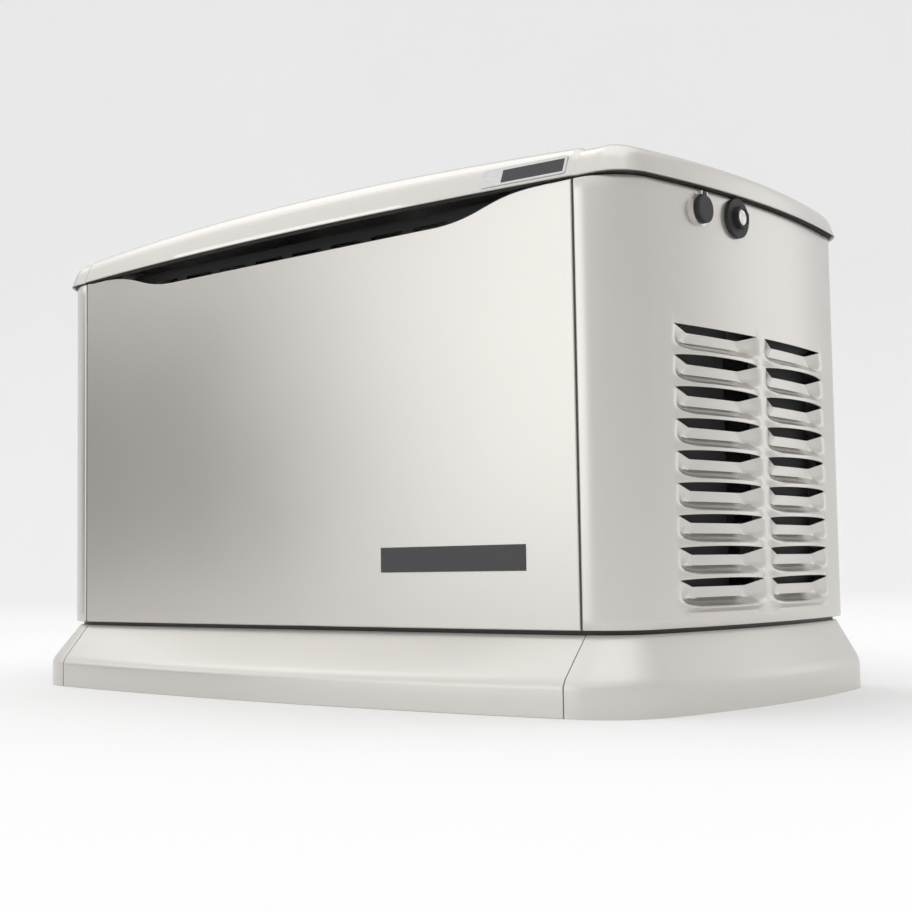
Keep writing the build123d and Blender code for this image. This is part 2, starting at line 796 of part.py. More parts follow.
with BuildPart() as partition:
    partition_front = -240.0
    partition_rear = body_rear_y - tray_inset - flange - 2
    partition_top = baffle_bottom - 2
    with Locations((
        partition_x + sheet / 2, (partition_front + partition_rear) / 2, (tray_floor_top + partition_top) / 2,
    )):
        Box(sheet, partition_rear - partition_front, partition_top - tray_floor_top)
    with BuildSketch(across(partition_x - 1)):
        with Locations((hose_hole_y, hose_z)):
            Circle(hose_r + 5)
    extrude(amount=2 * sheet, mode=Mode.SUBTRACT)
save(partition, "partition")

mount_height = 30.0
mount_r = 22.0
rail_size = 36.0
rail_y = 78.0
rail_x = (-235.0, 225.0)
cradle_z = tray_floor_top + mount_height
saddle_width = 150.0

with BuildPart() as vibration_mounts:
    with Locations((sum(rail_x) / 2, crank_y, tray_floor_top + mount_height / 2)):
        with GridLocations(rail_x[1] - rail_x[0] - 2 * mount_r, 2 * rail_y, 2, 2):
            Cylinder(mount_r, mount_height)
save(vibration_mounts, "vibration_mounts")

with BuildPart() as engine_cradle:
    with Locations((sum(rail_x) / 2, crank_y, cradle_z + rail_size / 2)):
        with GridLocations(1, 2 * rail_y, 1, 2):
            Box(rail_x[1] - rail_x[0], rail_size, rail_size)
    for low, high in (
        (crankcase_x[0] + 30, crankcase_x[1] - 30),
        (stator_x[0] + 30, stator_x[1] - 30),
    ):
        with Locations(((low + high) / 2, crank_y, (cradle_z + crank_z - 40) / 2)):
            Box(high - low, 2 * rail_y, crank_z - 40 - cradle_z)
    with BuildSketch(across(stator_x[0])):
        with Locations((crank_y, crank_z)):
            Circle(stator_r)
    extrude(amount=stator_x[1] - stator_x[0], mode=Mode.SUBTRACT)
    with BuildSketch(across(crankcase_x[0])):
        with Locations((crank_y, crank_z)):
            Circle(cylinder_base)
    extrude(amount=crankcase_x[1] - crankcase_x[0], mode=Mode.SUBTRACT)
save(engine_cradle, "engine_cradle")


def on_crank_axis(low, high, *radii):
    """Disc or ring on the crank axis between two values of x; radii are outer, then inner."""
    with BuildSketch(across(low)) as section:
        with Locations((crank_y, crank_z)):
            Circle(radii[0])
            if len(radii) > 1:
                Circle(radii[1], mode=Mode.SUBTRACT)
    return extrude(section.sketch, amount=high - low, mode=Mode.PRIVATE)


case_wall = 15.0

with BuildPart() as crankcase:
    add(on_crank_axis(*crankcase_x, cylinder_base))
    add(
        on_crank_axis(crankcase_x[0] + case_wall, crankcase_x[1] - case_wall, cylinder_base - case_wall),
        mode=Mode.SUBTRACT,
    )
    add(on_crank_axis(*crankcase_x, crank_r + running_fit), mode=Mode.SUBTRACT)
save(crankcase, "crankcase")


def bank(x, tilt):
    """Plane on the crank axis whose z runs up a cylinder leaning by tilt degrees."""
    lean = radians(tilt)
    return Plane(origin=(x, crank_y, crank_z), x_dir=(1, 0, 0), z_dir=(0, sin(lean), cos(lean)))


banks = [bank(x, tilt) for x, tilt in zip(cylinder_x, (-bore_tilt, bore_tilt))]
cylinder_top = cylinder_base + cylinder_length
fin_count = 6
fin_pitch = cylinder_length / fin_count

with BuildPart() as cylinder_barrels:
    for plane in banks:
        with BuildSketch(plane.offset(cylinder_base / 2)):
            Circle(cylinder_r - 14)
        extrude(amount=cylinder_top - cylinder_base / 2)
        for step in range(fin_count):
            with BuildSketch(plane.offset(cylinder_base + 8 + step * fin_pitch)):
                Circle(cylinder_r)
            extrude(amount=4)
    add(on_crank_axis(*crankcase_x, cylinder_base), mode=Mode.SUBTRACT)
save(cylinder_barrels, "cylinder_barrels")

head_size = 96.0

with BuildPart() as cylinder_heads:
    for plane in banks:
        with BuildSketch(plane.offset(cylinder_top)):
            RectangleRounded(head_size, head_size, 12)
        extrude(amount=head_length)
save(cylinder_heads, "cylinder_heads")

manifold_x = sum(cylinder_x) / 2
manifold_z = crank_z + 135.0
filter_z = (470.0, 552.0)
filter_size = (210.0, 190.0)
filter_y = crank_y + 34.0

with BuildPart() as intake_manifold:
    with BuildSketch(Plane.XY.offset(manifold_z)):
        with Locations((manifold_x, crank_y)):
            Circle(20)
    extrude(amount=filter_z[0] - manifold_z)
    with BuildSketch(Plane.XZ.offset(-crank_y - 110)):
        with Locations((manifold_x, manifold_z)):
            Circle(16)
    extrude(amount=220)
    with BuildSketch(Plane.XZ.offset(-crank_y)):
        with Locations((manifold_x, manifold_z)):
            Circle(22)
    extrude(amount=18, both=True)
    for piece in (cylinder_heads, cylinder_barrels):
        add(piece.part, mode=Mode.SUBTRACT)
save(intake_manifold, "intake_manifold")

with BuildPart() as air_filter_housing:
    with BuildSketch(Plane.XY.offset(filter_z[0])):
        with Locations((manifold_x, filter_y)):
            RectangleRounded(*filter_size, 25)
    extrude(amount=filter_z[1] - filter_z[0])
    fillet(air_filter_housing.faces().sort_by(Axis.Z)[-1].edges(), 8)
save(air_filter_housing, "air_filter_housing")

web_r = 55.0
throw = 28.0
crank_end = (-285.0, 206.0)

with BuildPart() as crankshaft:
    add(on_crank_axis(*crank_end, crank_r))
    for x in cylinder_x:
        add(on_crank_axis(x + 10, x + 24, web_r))
    add(on_crank_axis(cylinder_x[0] + 24, cylinder_x[1] + 10, 2 * crank_r), mode=Mode.SUBTRACT)
    with BuildSketch(across(cylinder_x[0] + 24)):
        with Locations((crank_y, crank_z + throw)):
            Circle(crank_r)
    extrude(amount=cylinder_x[1] - cylinder_x[0] - 14)
save(crankshaft, "crankshaft")

fan_blades = 14
fan_plate = 5.0

with BuildPart() as flywheel_fan:
    add(on_crank_axis(fan_x[1] - fan_plate, fan_x[1], fan_r))
    add(on_crank_axis(*fan_x, 45))
    with Locations(Location(Plane(origin=(0, crank_y, crank_z), z_dir=(1, 0, 0)))):
        with PolarLocations(80, fan_blades):
            with Locations((0, 0, sum(fan_x) / 2)):
                Box(66, 3, fan_x[1] - fan_x[0])
    add(on_crank_axis(*fan_x, crank_r), mode=Mode.SUBTRACT)
save(flywheel_fan, "flywheel_fan")

shroud_r = fan_r + 9
shroud_wall = 3.0
shroud_x = (fan_x[0] - 6, crankcase_x[0])

with BuildPart() as blower_housing:
    add(on_crank_axis(*shroud_x, shroud_r, shroud_r - shroud_wall))
    add(on_crank_axis(shroud_x[0], shroud_x[0] + shroud_wall, shroud_r, 88))
    add(on_crank_axis(shroud_x[1] - shroud_wall, shroud_x[1], shroud_r, 30))
save(blower_housing, "blower_housing")

oil_filter_r = 33.0
oil_filter_length = 74.0
oil_filter_at = (-122.0, 228.0)

with BuildPart() as oil_filter:
    with BuildSketch(Plane.XZ.offset(-crank_y + cylinder_base - 12)):
        with Locations(oil_filter_at):
            Circle(oil_filter_r)
    extrude(amount=oil_filter_length)
    fillet(oil_filter.faces().sort_by(Axis.Y)[0].edges(), 6)
    add(on_crank_axis(*crankcase_x, cylinder_base), mode=Mode.SUBTRACT)
    add(engine_cradle.part, mode=Mode.SUBTRACT)
save(oil_filter, "oil_filter")

tube_x = -52.0
tube_y = -60.0
tube_top = 420.0
tube_r = 10.0
stick_r = 2.5

with BuildPart() as oil_fill_tube:
    with BuildSketch(Plane.XY.offset(crank_z)):
        with Locations((tube_x, tube_y)):
            Circle(tube_r)
    extrude(amount=tube_top - crank_z)
    with BuildSketch(Plane.XY.offset(crank_z + 30)):
        with Locations((tube_x, tube_y)):
            Circle(tube_r - 2)
    extrude(amount=tube_top - crank_z, mode=Mode.SUBTRACT)
    for piece in (oil_filter, cylinder_barrels):
        add(piece.part, mode=Mode.SUBTRACT)
    add(on_crank_axis(*crankcase_x, cylinder_base), mode=Mode.SUBTRACT)
save(oil_fill_tube, "oil_fill_tube")

with BuildPart() as dipstick:
    with BuildSketch(Plane.XY.offset(crank_z + 40)):
        with Locations((tube_x, tube_y)):
            Circle(stick_r)
    extrude(amount=tube_top - crank_z - 40)
    with BuildSketch(Plane.XY.offset(tube_top)):
        with Locations((tube_x, tube_y)):
            Circle(tube_r + 3)
    extrude(amount=14)
save(dipstick, "dipstick")

starter_r = 34.0
starter_y = crank_y + 112
starter_z = crank_z - 62

with BuildPart() as starter_motor:
    with BuildSketch(across(crankcase_x[0] + 10)):
        with Locations((starter_y, starter_z)):
            Circle(starter_r)
    extrude(amount=130)
    with Locations((crankcase_x[0] + 75, crank_y + 80, starter_z + 5)):
        Box(60, 50, 24)
    add(on_crank_axis(*crankcase_x, cylinder_base), mode=Mode.SUBTRACT)
    for piece in (engine_cradle, cylinder_barrels):
        add(piece.part, mode=Mode.SUBTRACT)
save(starter_motor, "starter_motor")

muffler_wall = 4.0
tail_r = 22.0
tail_x = -578.0

with BuildPart() as muffler:
    with BuildSketch(Plane.XZ.offset(-muffler_half)):
        with Locations((muffler_x, muffler_z)):
            Circle(muffler_r)
    extrude(amount=2 * muffler_half)
    fillet(muffler.edges().filter_by(GeomType.CIRCLE), 10)
    with BuildSketch(across(tail_x)):
        with Locations((0, muffler_z)):
            Circle(tail_r)
    extrude(amount=muffler_x - tail_x)
    with Locations((muffler_x, 0, (tray_floor_top + muffler_z) / 2)):
        with GridLocations(1, 1.4 * muffler_half, 1, 2):
            Box(60, 20, muffler_z - tray_floor_top)
    with BuildSketch(Plane.XZ.offset(muffler_wall - muffler_half)):
        with Locations((muffler_x, muffler_z)):
            Circle(muffler_r - muffler_wall)
    extrude(amount=2 * (muffler_half - muffler_wall), mode=Mode.SUBTRACT)
    with BuildSketch(across(tail_x)):
        with Locations((0, muffler_z)):
            Circle(tail_r - muffler_wall)
    extrude(amount=muffler_r, mode=Mode.SUBTRACT)
save(muffler, "muffler")

exhaust_r = 17.0
exhaust_z = crank_z + 135
exhaust_bend = 70.0
head_reach = sin(radians(bore_tilt)) * (cylinder_top + head_length / 2)

with BuildPart() as exhaust_pipes:
    for x, side in zip(cylinder_x, (-1, 1)):
        start = (x - head_size / 2, crank_y + side * head_reach, exhaust_z)
        corner = (muffler_x, start[1], exhaust_z)
        end = (muffler_x, start[1], muffler_z + muffler_r - muffler_wall)
        with BuildLine() as route:
            FilletPolyline(start, corner, end, radius=exhaust_bend)
        with BuildSketch(across(start[0], -1)):
            with Locations((-start[1], exhaust_z)):
                Circle(exhaust_r)
        sweep(path=route.line)
    add(muffler.part, mode=Mode.SUBTRACT)
save(exhaust_pipes, "exhaust_pipes")

# ---------------------------------------------------------------- alternator

with BuildPart() as alternator_stator:
    add(on_crank_axis(*stator_x, stator_r, rotor_r + rotor_gap))
save(alternator_stator, "alternator_stator")

with BuildPart() as alternator_rotor:
    add(on_crank_axis(stator_x[0] + 14, stator_x[1] - 14, rotor_r, crank_r))
save(alternator_rotor, "alternator_rotor")

bearing_r = 32.0

with BuildPart() as alternator_bearing:
    add(on_crank_axis(stator_x[1] + 20, bell_x1 - 6, bearing_r, crank_r + running_fit))
save(alternator_bearing, "alternator_bearing")

with BuildPart() as alternator_ends:
    add(on_crank_axis(crankcase_x[1], stator_x[0], stator_r - 10, crank_r + 12))
    add(on_crank_axis(stator_x[1], stator_x[1] + 12, stator_r, bearing_r))
    add(on_crank_axis(stator_x[1] + 12, bell_x1, bearing_r + 12, bearing_r))
save(alternator_ends, "alternator_ends")

# ---------------------------------------------------------------- controls

face_z = control_box_z[1]
face_thick = 3.0
box_wall = 2.0
box_mid_x = (partition_x + sheet + control_box_x[1]) / 2
box_mid_y = sum(control_box_y) / 2
box_length = control_box_x[1] - partition_x - sheet
box_depth = control_box_y[1] - control_box_y[0]

with BuildPart() as control_box:
    with Locations((box_mid_x, box_mid_y, (control_box_z[0] + face_z) / 2)):
        Box(box_length, box_depth, face_z - control_box_z[0])
    with Locations((box_mid_x, box_mid_y, (control_box_z[0] + face_z) / 2 + box_wall)):
        Box(
            box_length - 2 * box_wall, box_depth - 2 * box_wall, face_z - control_box_z[0],
            mode=Mode.SUBTRACT,
        )
save(control_box, "control_box")

display_at = (350.0, -120.0)
display_size = (96.0, 44.0)
key_gap = 0.6
key_row_y = -178.0
key_row_x = (320.0, 350.0, 380.0)
key_stand = 4.0
breaker_at = (480.0, -110.0)
breaker_size = (46.0, 84.0, 70.0)
lever_r = 9.0
lever_width = 12.0
lever_length = 46.0
lever_throw = 50.0
lever_z = face_z - 16.0
lever_slot = 15.0
lever_slot_length = 62.0

with BuildPart() as control_face:
    with Locations((box_mid_x, box_mid_y, face_z + face_thick / 2)):
        Box(box_length, box_depth, face_thick)
    with Locations([(x, key_row_y, face_z) for x in key_row_x]):
        Box(key_size + 2 * key_gap, key_size + 2 * key_gap, 4 * face_thick, mode=Mode.SUBTRACT)
    with Locations((*display_at, face_z)):
        Box(*display_size, 4 * face_thick, mode=Mode.SUBTRACT)
    with Locations((*breaker_at, face_z)):
        Box(lever_slot, lever_slot_length, 4 * face_thick, mode=Mode.SUBTRACT)
save(control_face, "control_face")

with BuildPart() as control_display:
    with Locations((*display_at, face_z - 6)):
        Box(*display_size, 16)
save(control_display, "control_display")

for x, name in zip(key_row_x, key_names):
    with BuildPart() as key:
        with Locations((x, key_row_y, face_z - 2)):
            Box(key_size, key_size, 2 * (face_thick + key_stand) - 2)
        fillet(key.faces().sort_by(Axis.Z)[-1].edges(), 1.5)
    save(key, name)

with BuildPart() as main_breaker:
    with Locations((*breaker_at, face_z - breaker_size[2] / 2)):
        Box(*breaker_size)
    with Locations((*breaker_at, face_z)):
        Box(lever_width + 1, lever_slot_length, 56, mode=Mode.SUBTRACT)
    with BuildSketch(across(breaker_at[0] - lever_width)):
        with Locations((breaker_at[1], lever_z)):
            Circle(hinge_pin_r)
    extrude(amount=2 * lever_width)
save(main_breaker, "main_breaker")

lever_rest = Plane(
    origin=(breaker_at[0], breaker_at[1], lever_z),
    x_dir=(1, 0, 0),
    z_dir=(0, -sin(radians(lever_throw / 2)), cos(radians(lever_throw / 2))),
)

with BuildPart() as breaker_lever:
    with BuildSketch(across(breaker_at[0] - lever_width / 2)):
        with Locations((breaker_at[1], lever_z)):
            Circle(lever_r)
    extrude(amount=lever_width)
    with BuildSketch(lever_rest):
        Rectangle(lever_width, 9)
    extrude(amount=lever_length)
    with BuildSketch(across(breaker_at[0] - lever_width)):
        with Locations((breaker_at[1], lever_z)):
            Circle(hinge_pin_r + running_fit)
    extrude(amount=2 * lever_width, mode=Mode.SUBTRACT)
save(breaker_lever, "breaker_lever")

# ---------------------------------------------------------------- battery and fuel

with BuildPart() as battery:
    with Locations((*battery_at, tray_floor_top + battery_size[2] / 2)):
        Box(*battery_size)
    fillet(battery.edges().filter_by(Axis.Z), 6)
    with Locations((*battery_at, tray_floor_top + battery_size[2] + 8)):
        with GridLocations(battery_size[0] - 50, 1, 2, 1):
            Cylinder(9, 16)
save(battery, "battery")

strap_width = 26.0
strap_thick = 3.0

with BuildPart() as battery_strap:
    with Locations((*battery_at, tray_floor_top + (battery_size[2] + strap_thick) / 2)):
        Box(strap_width, battery_size[1] + 2 * strap_thick, battery_size[2] + strap_thick)
    with Locations((*battery_at, tray_floor_top + battery_size[2] / 2)):
        Box(strap_width, battery_size[1], battery_size[2], mode=Mode.SUBTRACT)
save(battery_strap, "battery_strap")

regulator_size = (80.0, 70.0)
regulator_top = 235.0
diaphragm_r = 48.0
fuel_pipe_x = regulator_at[0] + 70
fuel_pipe_end = body_rear_y + 25

with BuildPart() as fuel_regulator:
    with Locations((*regulator_at, (tray_floor_top + regulator_top) / 2)):
        Box(*regulator_size, regulator_top - tray_floor_top)
    with Locations((regulator_at[0] + 50, regulator_at[1], fuel_z)):
        Box(60, 56, 56)
    with BuildSketch(Plane.XY.offset(regulator_top)):
        with Locations(regulator_at):
            Circle(diaphragm_r)
            Circle(hose_r, mode=Mode.SUBTRACT)
    extrude(amount=30)
save(fuel_regulator, "fuel_regulator")

with BuildPart() as fuel_inlet:
    with BuildSketch(Plane.XZ.offset(-regulator_at[1] - 28)):
        with Locations((fuel_pipe_x, fuel_z)):
            Circle(fuel_pipe_r - 1)
    extrude(amount=regulator_at[1] + 28 - fuel_pipe_end)
    with BuildSketch(Plane.XZ.offset(-body_rear_y)):
        with Locations((fuel_pipe_x, fuel_z)):
            Circle(fuel_pipe_r)
    extrude(amount=body_rear_y - fuel_pipe_end)
    with BuildSketch(Plane.XZ.offset(-regulator_at[1] - 28)):
        with Locations((fuel_pipe_x, fuel_z)):
            Circle(fuel_pipe_r - 4)
    extrude(amount=regulator_at[1] + 28 - fuel_pipe_end, mode=Mode.SUBTRACT)
save(fuel_inlet, "fuel_inlet")

hose_bend = 60.0

with BuildPart() as fuel_hose:
    with BuildLine() as hose_route:
        FilletPolyline(
            (*regulator_at, regulator_top),
            (*regulator_at, hose_z),
            (manifold_x, hose_hole_y, hose_z),
            (manifold_x, hose_hole_y, filter_z[0] + 40),
            radius=hose_bend / 1.6,
        )
    with BuildSketch(Plane.XY.offset(regulator_top)):
        with Locations(regulator_at):
            Circle(hose_r)
    sweep(path=hose_route.line)
save(fuel_hose, "fuel_hose")

screw_r = 5.0
screw_height = 3.5

with BuildPart() as panel_screws:
    with BuildSketch(Plane.XZ.offset(-body_rear_y)):
        with Locations((0, (body_bottom + body_top) / 2)):
            with GridLocations(2 * (back_half - 9), (panel_height - 40) / 3, 2, 4):
                RegularPolygon(screw_r, 6)
    extrude(amount=-screw_height)
save(panel_screws, "panel_screws")
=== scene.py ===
import json
from math import atan2, cos, hypot, pi, radians, sin, sqrt, tan

import bmesh
import bpy
from mathutils import Matrix, Vector


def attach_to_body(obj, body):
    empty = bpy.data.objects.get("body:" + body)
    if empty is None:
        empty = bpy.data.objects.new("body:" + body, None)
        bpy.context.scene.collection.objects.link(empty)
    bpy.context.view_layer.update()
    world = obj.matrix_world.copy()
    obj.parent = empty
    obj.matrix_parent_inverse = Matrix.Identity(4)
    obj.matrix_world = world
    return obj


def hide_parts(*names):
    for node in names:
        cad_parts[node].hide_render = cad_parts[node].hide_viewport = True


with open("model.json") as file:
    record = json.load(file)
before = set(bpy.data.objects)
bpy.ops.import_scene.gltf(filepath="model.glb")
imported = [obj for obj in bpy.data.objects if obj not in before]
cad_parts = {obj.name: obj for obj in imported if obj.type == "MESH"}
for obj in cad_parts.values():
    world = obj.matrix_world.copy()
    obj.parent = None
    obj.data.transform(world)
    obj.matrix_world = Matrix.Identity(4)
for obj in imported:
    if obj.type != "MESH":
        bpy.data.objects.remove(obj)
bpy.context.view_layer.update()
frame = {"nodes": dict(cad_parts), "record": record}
record = frame["record"]
nodes = frame["nodes"]
scene = bpy.context.scene
slot_of = {row["node"]: row["material_slot"] for row in record["subparts"]}
body_of = {node: body for body, members in record["behaviour"]["bodies"].items() for node in members}


# ---------------------------------------------------------------- camera, floor and light

CAMERA_PLACE = Vector((1.6244, -1.8236, 0.1854))
CAMERA_YAW = radians(40.605)
CAMERA_PITCH = radians(4.158)
CAMERA_ROLL = radians(-0.892)
CAMERA_LENS = 60.16
SENSOR = 36.0


def make_camera():
    """A nearly level product view from the front right, a little above the floor."""
    data = bpy.data.cameras.new("camera")
    data.lens = CAMERA_LENS
    data.sensor_width = SENSOR
    data.clip_end = 60
    camera = bpy.data.objects.new("camera", data)
    forward = Vector((
        -sin(CAMERA_YAW) * cos(CAMERA_PITCH), cos(CAMERA_YAW) * cos(CAMERA_PITCH), sin(CAMERA_PITCH),
    ))
    level_right = Vector((cos(CAMERA_YAW), sin(CAMERA_YAW), 0))
    level_up = level_right.cross(forward)
    right = cos(CAMERA_ROLL) * level_right + sin(CAMERA_ROLL) * level_up
    up = cos(CAMERA_ROLL) * level_up - sin(CAMERA_ROLL) * level_right
    turn = Matrix((right, up, -forward)).transposed()
    camera.matrix_world = Matrix.Translation(CAMERA_PLACE) @ turn.to_4x4()
    scene.collection.objects.link(camera)
    scene.camera = camera


def soft_box(name, place, target, width, height, power):
    """A rectangular studio light aimed at a point."""
    data = bpy.data.lights.new(name, "AREA")
    data.shape = "RECTANGLE"
    data.size = width
    data.size_y = height
    data.energy = power
    lamp = bpy.data.objects.new(name, data)
    aim = Vector(target) - Vector(place)
    lamp.matrix_world = Matrix.Translation(place) @ aim.to_track_quat("-Z", "Y").to_matrix().to_4x4()
    scene.collection.objects.link(lamp)


def make_floor(material):
    """A wide pale floor that curves up into a backdrop."""
    half, back, bend, rise = 14.0, 9.0, 2.5, 7.0
    profile = [(-half, 0.0), (back - bend, 0.0)]
    steps = 16
    for step in range(1, steps + 1):
        turn = step / steps * pi / 2
        profile.append((back - bend + bend * sin(turn), bend - bend * cos(turn)))
    profile.append((back, rise))
    mesh = bpy.data.meshes.new("floor")
    verts = [(x, y, z) for y, z in profile for x in (-half, half)]
    faces = [(2 * i, 2 * i + 1, 2 * i + 3, 2 * i + 2) for i in range(len(profile) - 1)]
    mesh.from_pydata(verts, [], faces)
    mesh.polygons.foreach_set("use_smooth", [True] * len(mesh.polygons))
    mesh.materials.append(material)
    floor = bpy.data.objects.new("floor", mesh)
    floor.matrix_world = Matrix.Rotation(CAMERA_YAW, 4, "Z")
    scene.collection.objects.link(floor)


# ---------------------------------------------------------------- shader maths


class Value:
    """A shader socket that can be used in a Python expression."""

    def __init__(self, finish, socket):
        self.finish = finish
        self.socket = socket

    def maths(self, operation, first, second):
        return self.finish.node("ShaderNodeMath", {"operation": operation}, {0: first, 1: second})

    def __add__(self, other):
        return self.maths("ADD", self, other)

    def __sub__(self, other):
        return self.maths("SUBTRACT", self, other)

    def __rsub__(self, other):
        return self.maths("SUBTRACT", other, self)

    def __mul__(self, other):
        return self.maths("MULTIPLY", self, other)

    def __truediv__(self, other):
        return self.maths("DIVIDE", self, other)

    def __gt__(self, other):
        return self.maths("GREATER_THAN", self, other)

    def clamped(self):
        return self.finish.node("ShaderNodeClamp", {}, {0: self})

    def ramp(self, low, high):
        """0 below low, 1 above high, a straight line between."""
        return ((self - low) / (high - low)).clamped()

    __radd__ = __add__
    __rmul__ = __mul__


class Tree:
    """A node tree, whose nodes all come from node()."""

    def __init__(self, tree):
        self.tree = tree

    def node(self, kind, settings=None, inputs=None, output=0):
        made = self.tree.nodes.new(kind)
        for name, value in (settings or {}).items():
            if name == "stops":
                self.set_stops(made.color_ramp, value)
            else:
                setattr(made, name, value)
        for name, value in (inputs or {}).items():
            self.feed(made.inputs[name], value)
        return Value(self, made.outputs[output])

    def set_stops(self, ramp, stops):
        while len(ramp.elements) < len(stops):
            ramp.elements.new(0.5)
        for element, (place, colour) in zip(ramp.elements, stops):
            element.position = place
            element.color = (*colour, 1)

    def feed(self, socket, value):
        if isinstance(value, Value):
            self.tree.links.new(value.socket, socket)
        elif isinstance(value, tuple) and len(value) == 3 and socket.type == "RGBA":
            socket.default_value = (*value, 1)
        else:
            socket.default_value = value


class Finish(Tree):
    """One material, whose shader is set by surface()."""

    def __init__(self, name):
        self.material = bpy.data.materials.new(name)
        self.material.use_nodes = True
        super().__init__(self.material.node_tree)
        self.shader = self.tree.nodes["Principled BSDF"]

    def place(self):
        return self.node("ShaderNodeTexCoord", output="Object")

    def height(self):
        """Height above the floor in metres."""
        return self.node("ShaderNodeSeparateXYZ", {}, {0: self.place()}, output="Z")

    def stretched(self, scale):
        return self.node("ShaderNodeMapping", {}, {"Vector": self.place(), "Scale": scale})

    def noise(self, scale, detail=3.0, roughness=0.5, vector=None):
        return self.node("ShaderNodeTexNoise", {}, {
            "Vector": vector or self.place(), "Scale": scale, "Detail": detail, "Roughness": roughness,
        }, output="Fac")

    def cells(self, scale):
        inputs = {"Vector": self.place(), "Scale": scale}
        return self.node("ShaderNodeTexVoronoi", {}, inputs, output="Distance")

    def mix(self, share, first, second):
        return self.node("ShaderNodeMix", {"data_type": "RGBA"}, {0: share, 6: first, 7: second}, output=2)

    def bump(self, height, distance):
        return self.node("ShaderNodeBump", {}, {"Height": height, "Distance": distance, "Strength": 1.0})

    def surface(self, **values):
        for name, value in values.items():
            self.feed(self.shader.inputs[name.replace("_", " ").title()], value)
        return self.material


def shade(colour, amount):
    """The colour made lighter or darker by a factor."""
    return tuple(min(1.0, part * amount) for part in colour)


CHAMPAGNE = (0.60, 0.578, 0.548)


def powder_coat(name, colour, metallic=0.72, roughness=0.23, peel=0.00005):
    """Sprayed and baked paint: fine peel, tiny bright flakes, faint clouding and dust low down."""
    finish = Finish(name)
    cloud = finish.noise(2.2, 4)
    flakes = finish.cells(2600)
    peel_height = finish.noise(420, 2, 0.45)
    dust = (1 - finish.height().ramp(0.0, 0.05)) * finish.noise(28, 5, 0.62).ramp(0.5, 0.85)
    tone = finish.mix(cloud.ramp(0.3, 0.7), shade(colour, 0.97), shade(colour, 1.03))
    tone = finish.mix(flakes.ramp(0.25, 0.65) * 0.10, tone, shade(colour, 1.25))
    tone = finish.mix(dust * 0.12, tone, (0.50, 0.45, 0.38))
    return finish.surface(
        base_color=tone,
        metallic=metallic - dust * 0.1,
        roughness=roughness + cloud * 0.05 + dust * 0.1,
        normal=finish.bump(peel_height, peel),
    )


def moulded_plastic(name, colour, roughness=0.45, grain=0.00008, scale=900):
    """Moulded plastic: fine grain and slightly uneven gloss."""
    finish = Finish(name)
    patch = finish.noise(9, 4)
    grain_height = finish.noise(scale, 3, 0.6)
    tone = finish.mix(patch.ramp(0.3, 0.75), shade(colour, 0.92), shade(colour, 1.08))
    tone = finish.mix(finish.noise(60, 6, 0.7).ramp(0.62, 0.85) * 0.15, tone, shade(colour, 1.5))
    return finish.surface(
        base_color=tone, roughness=roughness + patch * 0.12, normal=finish.bump(grain_height, grain),
    )


def bare_metal(name, colour, roughness=0.32, brushed=(40, 900, 900)):
    """Turned, zinc plated or brushed metal: streaks one way and clouded plating."""
    finish = Finish(name)
    streaks = finish.noise(1.0, 4, 0.6, finish.stretched(brushed))
    plating = finish.noise(35, 5, 0.6)
    tone = finish.mix(plating.ramp(0.3, 0.75), shade(colour, 0.8), shade(colour, 1.12))
    return finish.surface(
        base_color=tone, metallic=0.95, roughness=roughness + streaks * 0.18,
        normal=finish.bump(streaks, 0.00004),
    )


def cast_metal(name, colour, metallic=0.8, roughness=0.5):
    """Sand cast metal: pebbled skin, darker pits and oil-dark patches."""
    finish = Finish(name)
    pebbles = finish.cells(520)
    pits = finish.noise(240, 5, 0.65)
    grime = finish.noise(14, 6, 0.65).ramp(0.5, 0.78)
    tone = finish.mix(pits.ramp(0.35, 0.7), shade(colour, 0.82), shade(colour, 1.1))
    tone = finish.mix(grime * 0.5, tone, shade(colour, 0.35))
    return finish.surface(
        base_color=tone, metallic=metallic, roughness=roughness + pits * 0.2,
        normal=finish.bump(pebbles + pits, 0.00025),
    )


def heated_steel(name):
    """Exhaust steel: straw, bronze and blue tints in bands, with dry rust freckles."""
    finish = Finish(name)
    bands = finish.noise(5, 3, 0.5, finish.stretched((1, 1, 2.4)))
    rust = finish.noise(55, 8, 0.7).ramp(0.58, 0.72)
    tint = finish.node("ShaderNodeValToRGB", {"stops": (
        (0.25, (0.34, 0.31, 0.28)), (0.45, (0.40, 0.29, 0.16)), (0.6, (0.24, 0.17, 0.20)),
        (0.75, (0.20, 0.24, 0.32)),
    )}, {0: bands})
    return finish.surface(
        base_color=finish.mix(rust * 0.8, tint, (0.16, 0.065, 0.03)), metallic=0.9 - rust * 0.7,
        roughness=0.38 + rust * 0.4, normal=finish.bump(rust, 0.0001),
    )


def rubber(name, colour=(0.028, 0.028, 0.028)):
    """Moulded rubber or foam: matt, fine pores, greyed bloom."""
    finish = Finish(name)
    pores = finish.cells(1300)
    bloom = finish.noise(24, 5, 0.6).ramp(0.45, 0.8)
    return finish.surface(
        base_color=finish.mix(bloom * 0.25, colour, shade(colour, 3.2)), roughness=0.72 + bloom * 0.15,
        normal=finish.bump(pores, 0.0001),
    )


def gloss_lens(name, colour):
    """Clear hard plastic over a dim lamp: smooth, faint scratches."""
    finish = Finish(name)
    scratches = finish.noise(1.0, 6, 0.7, finish.stretched((300, 2600, 300)))
    depth = finish.noise(90, 2)
    return finish.surface(
        base_color=finish.mix(depth.ramp(0.3, 0.7), shade(colour, 0.7), shade(colour, 1.25)),
        roughness=0.08 + scratches.ramp(0.55, 0.8) * 0.2, coat_weight=0.6,
        normal=finish.bump(scratches, 0.00001),
    )


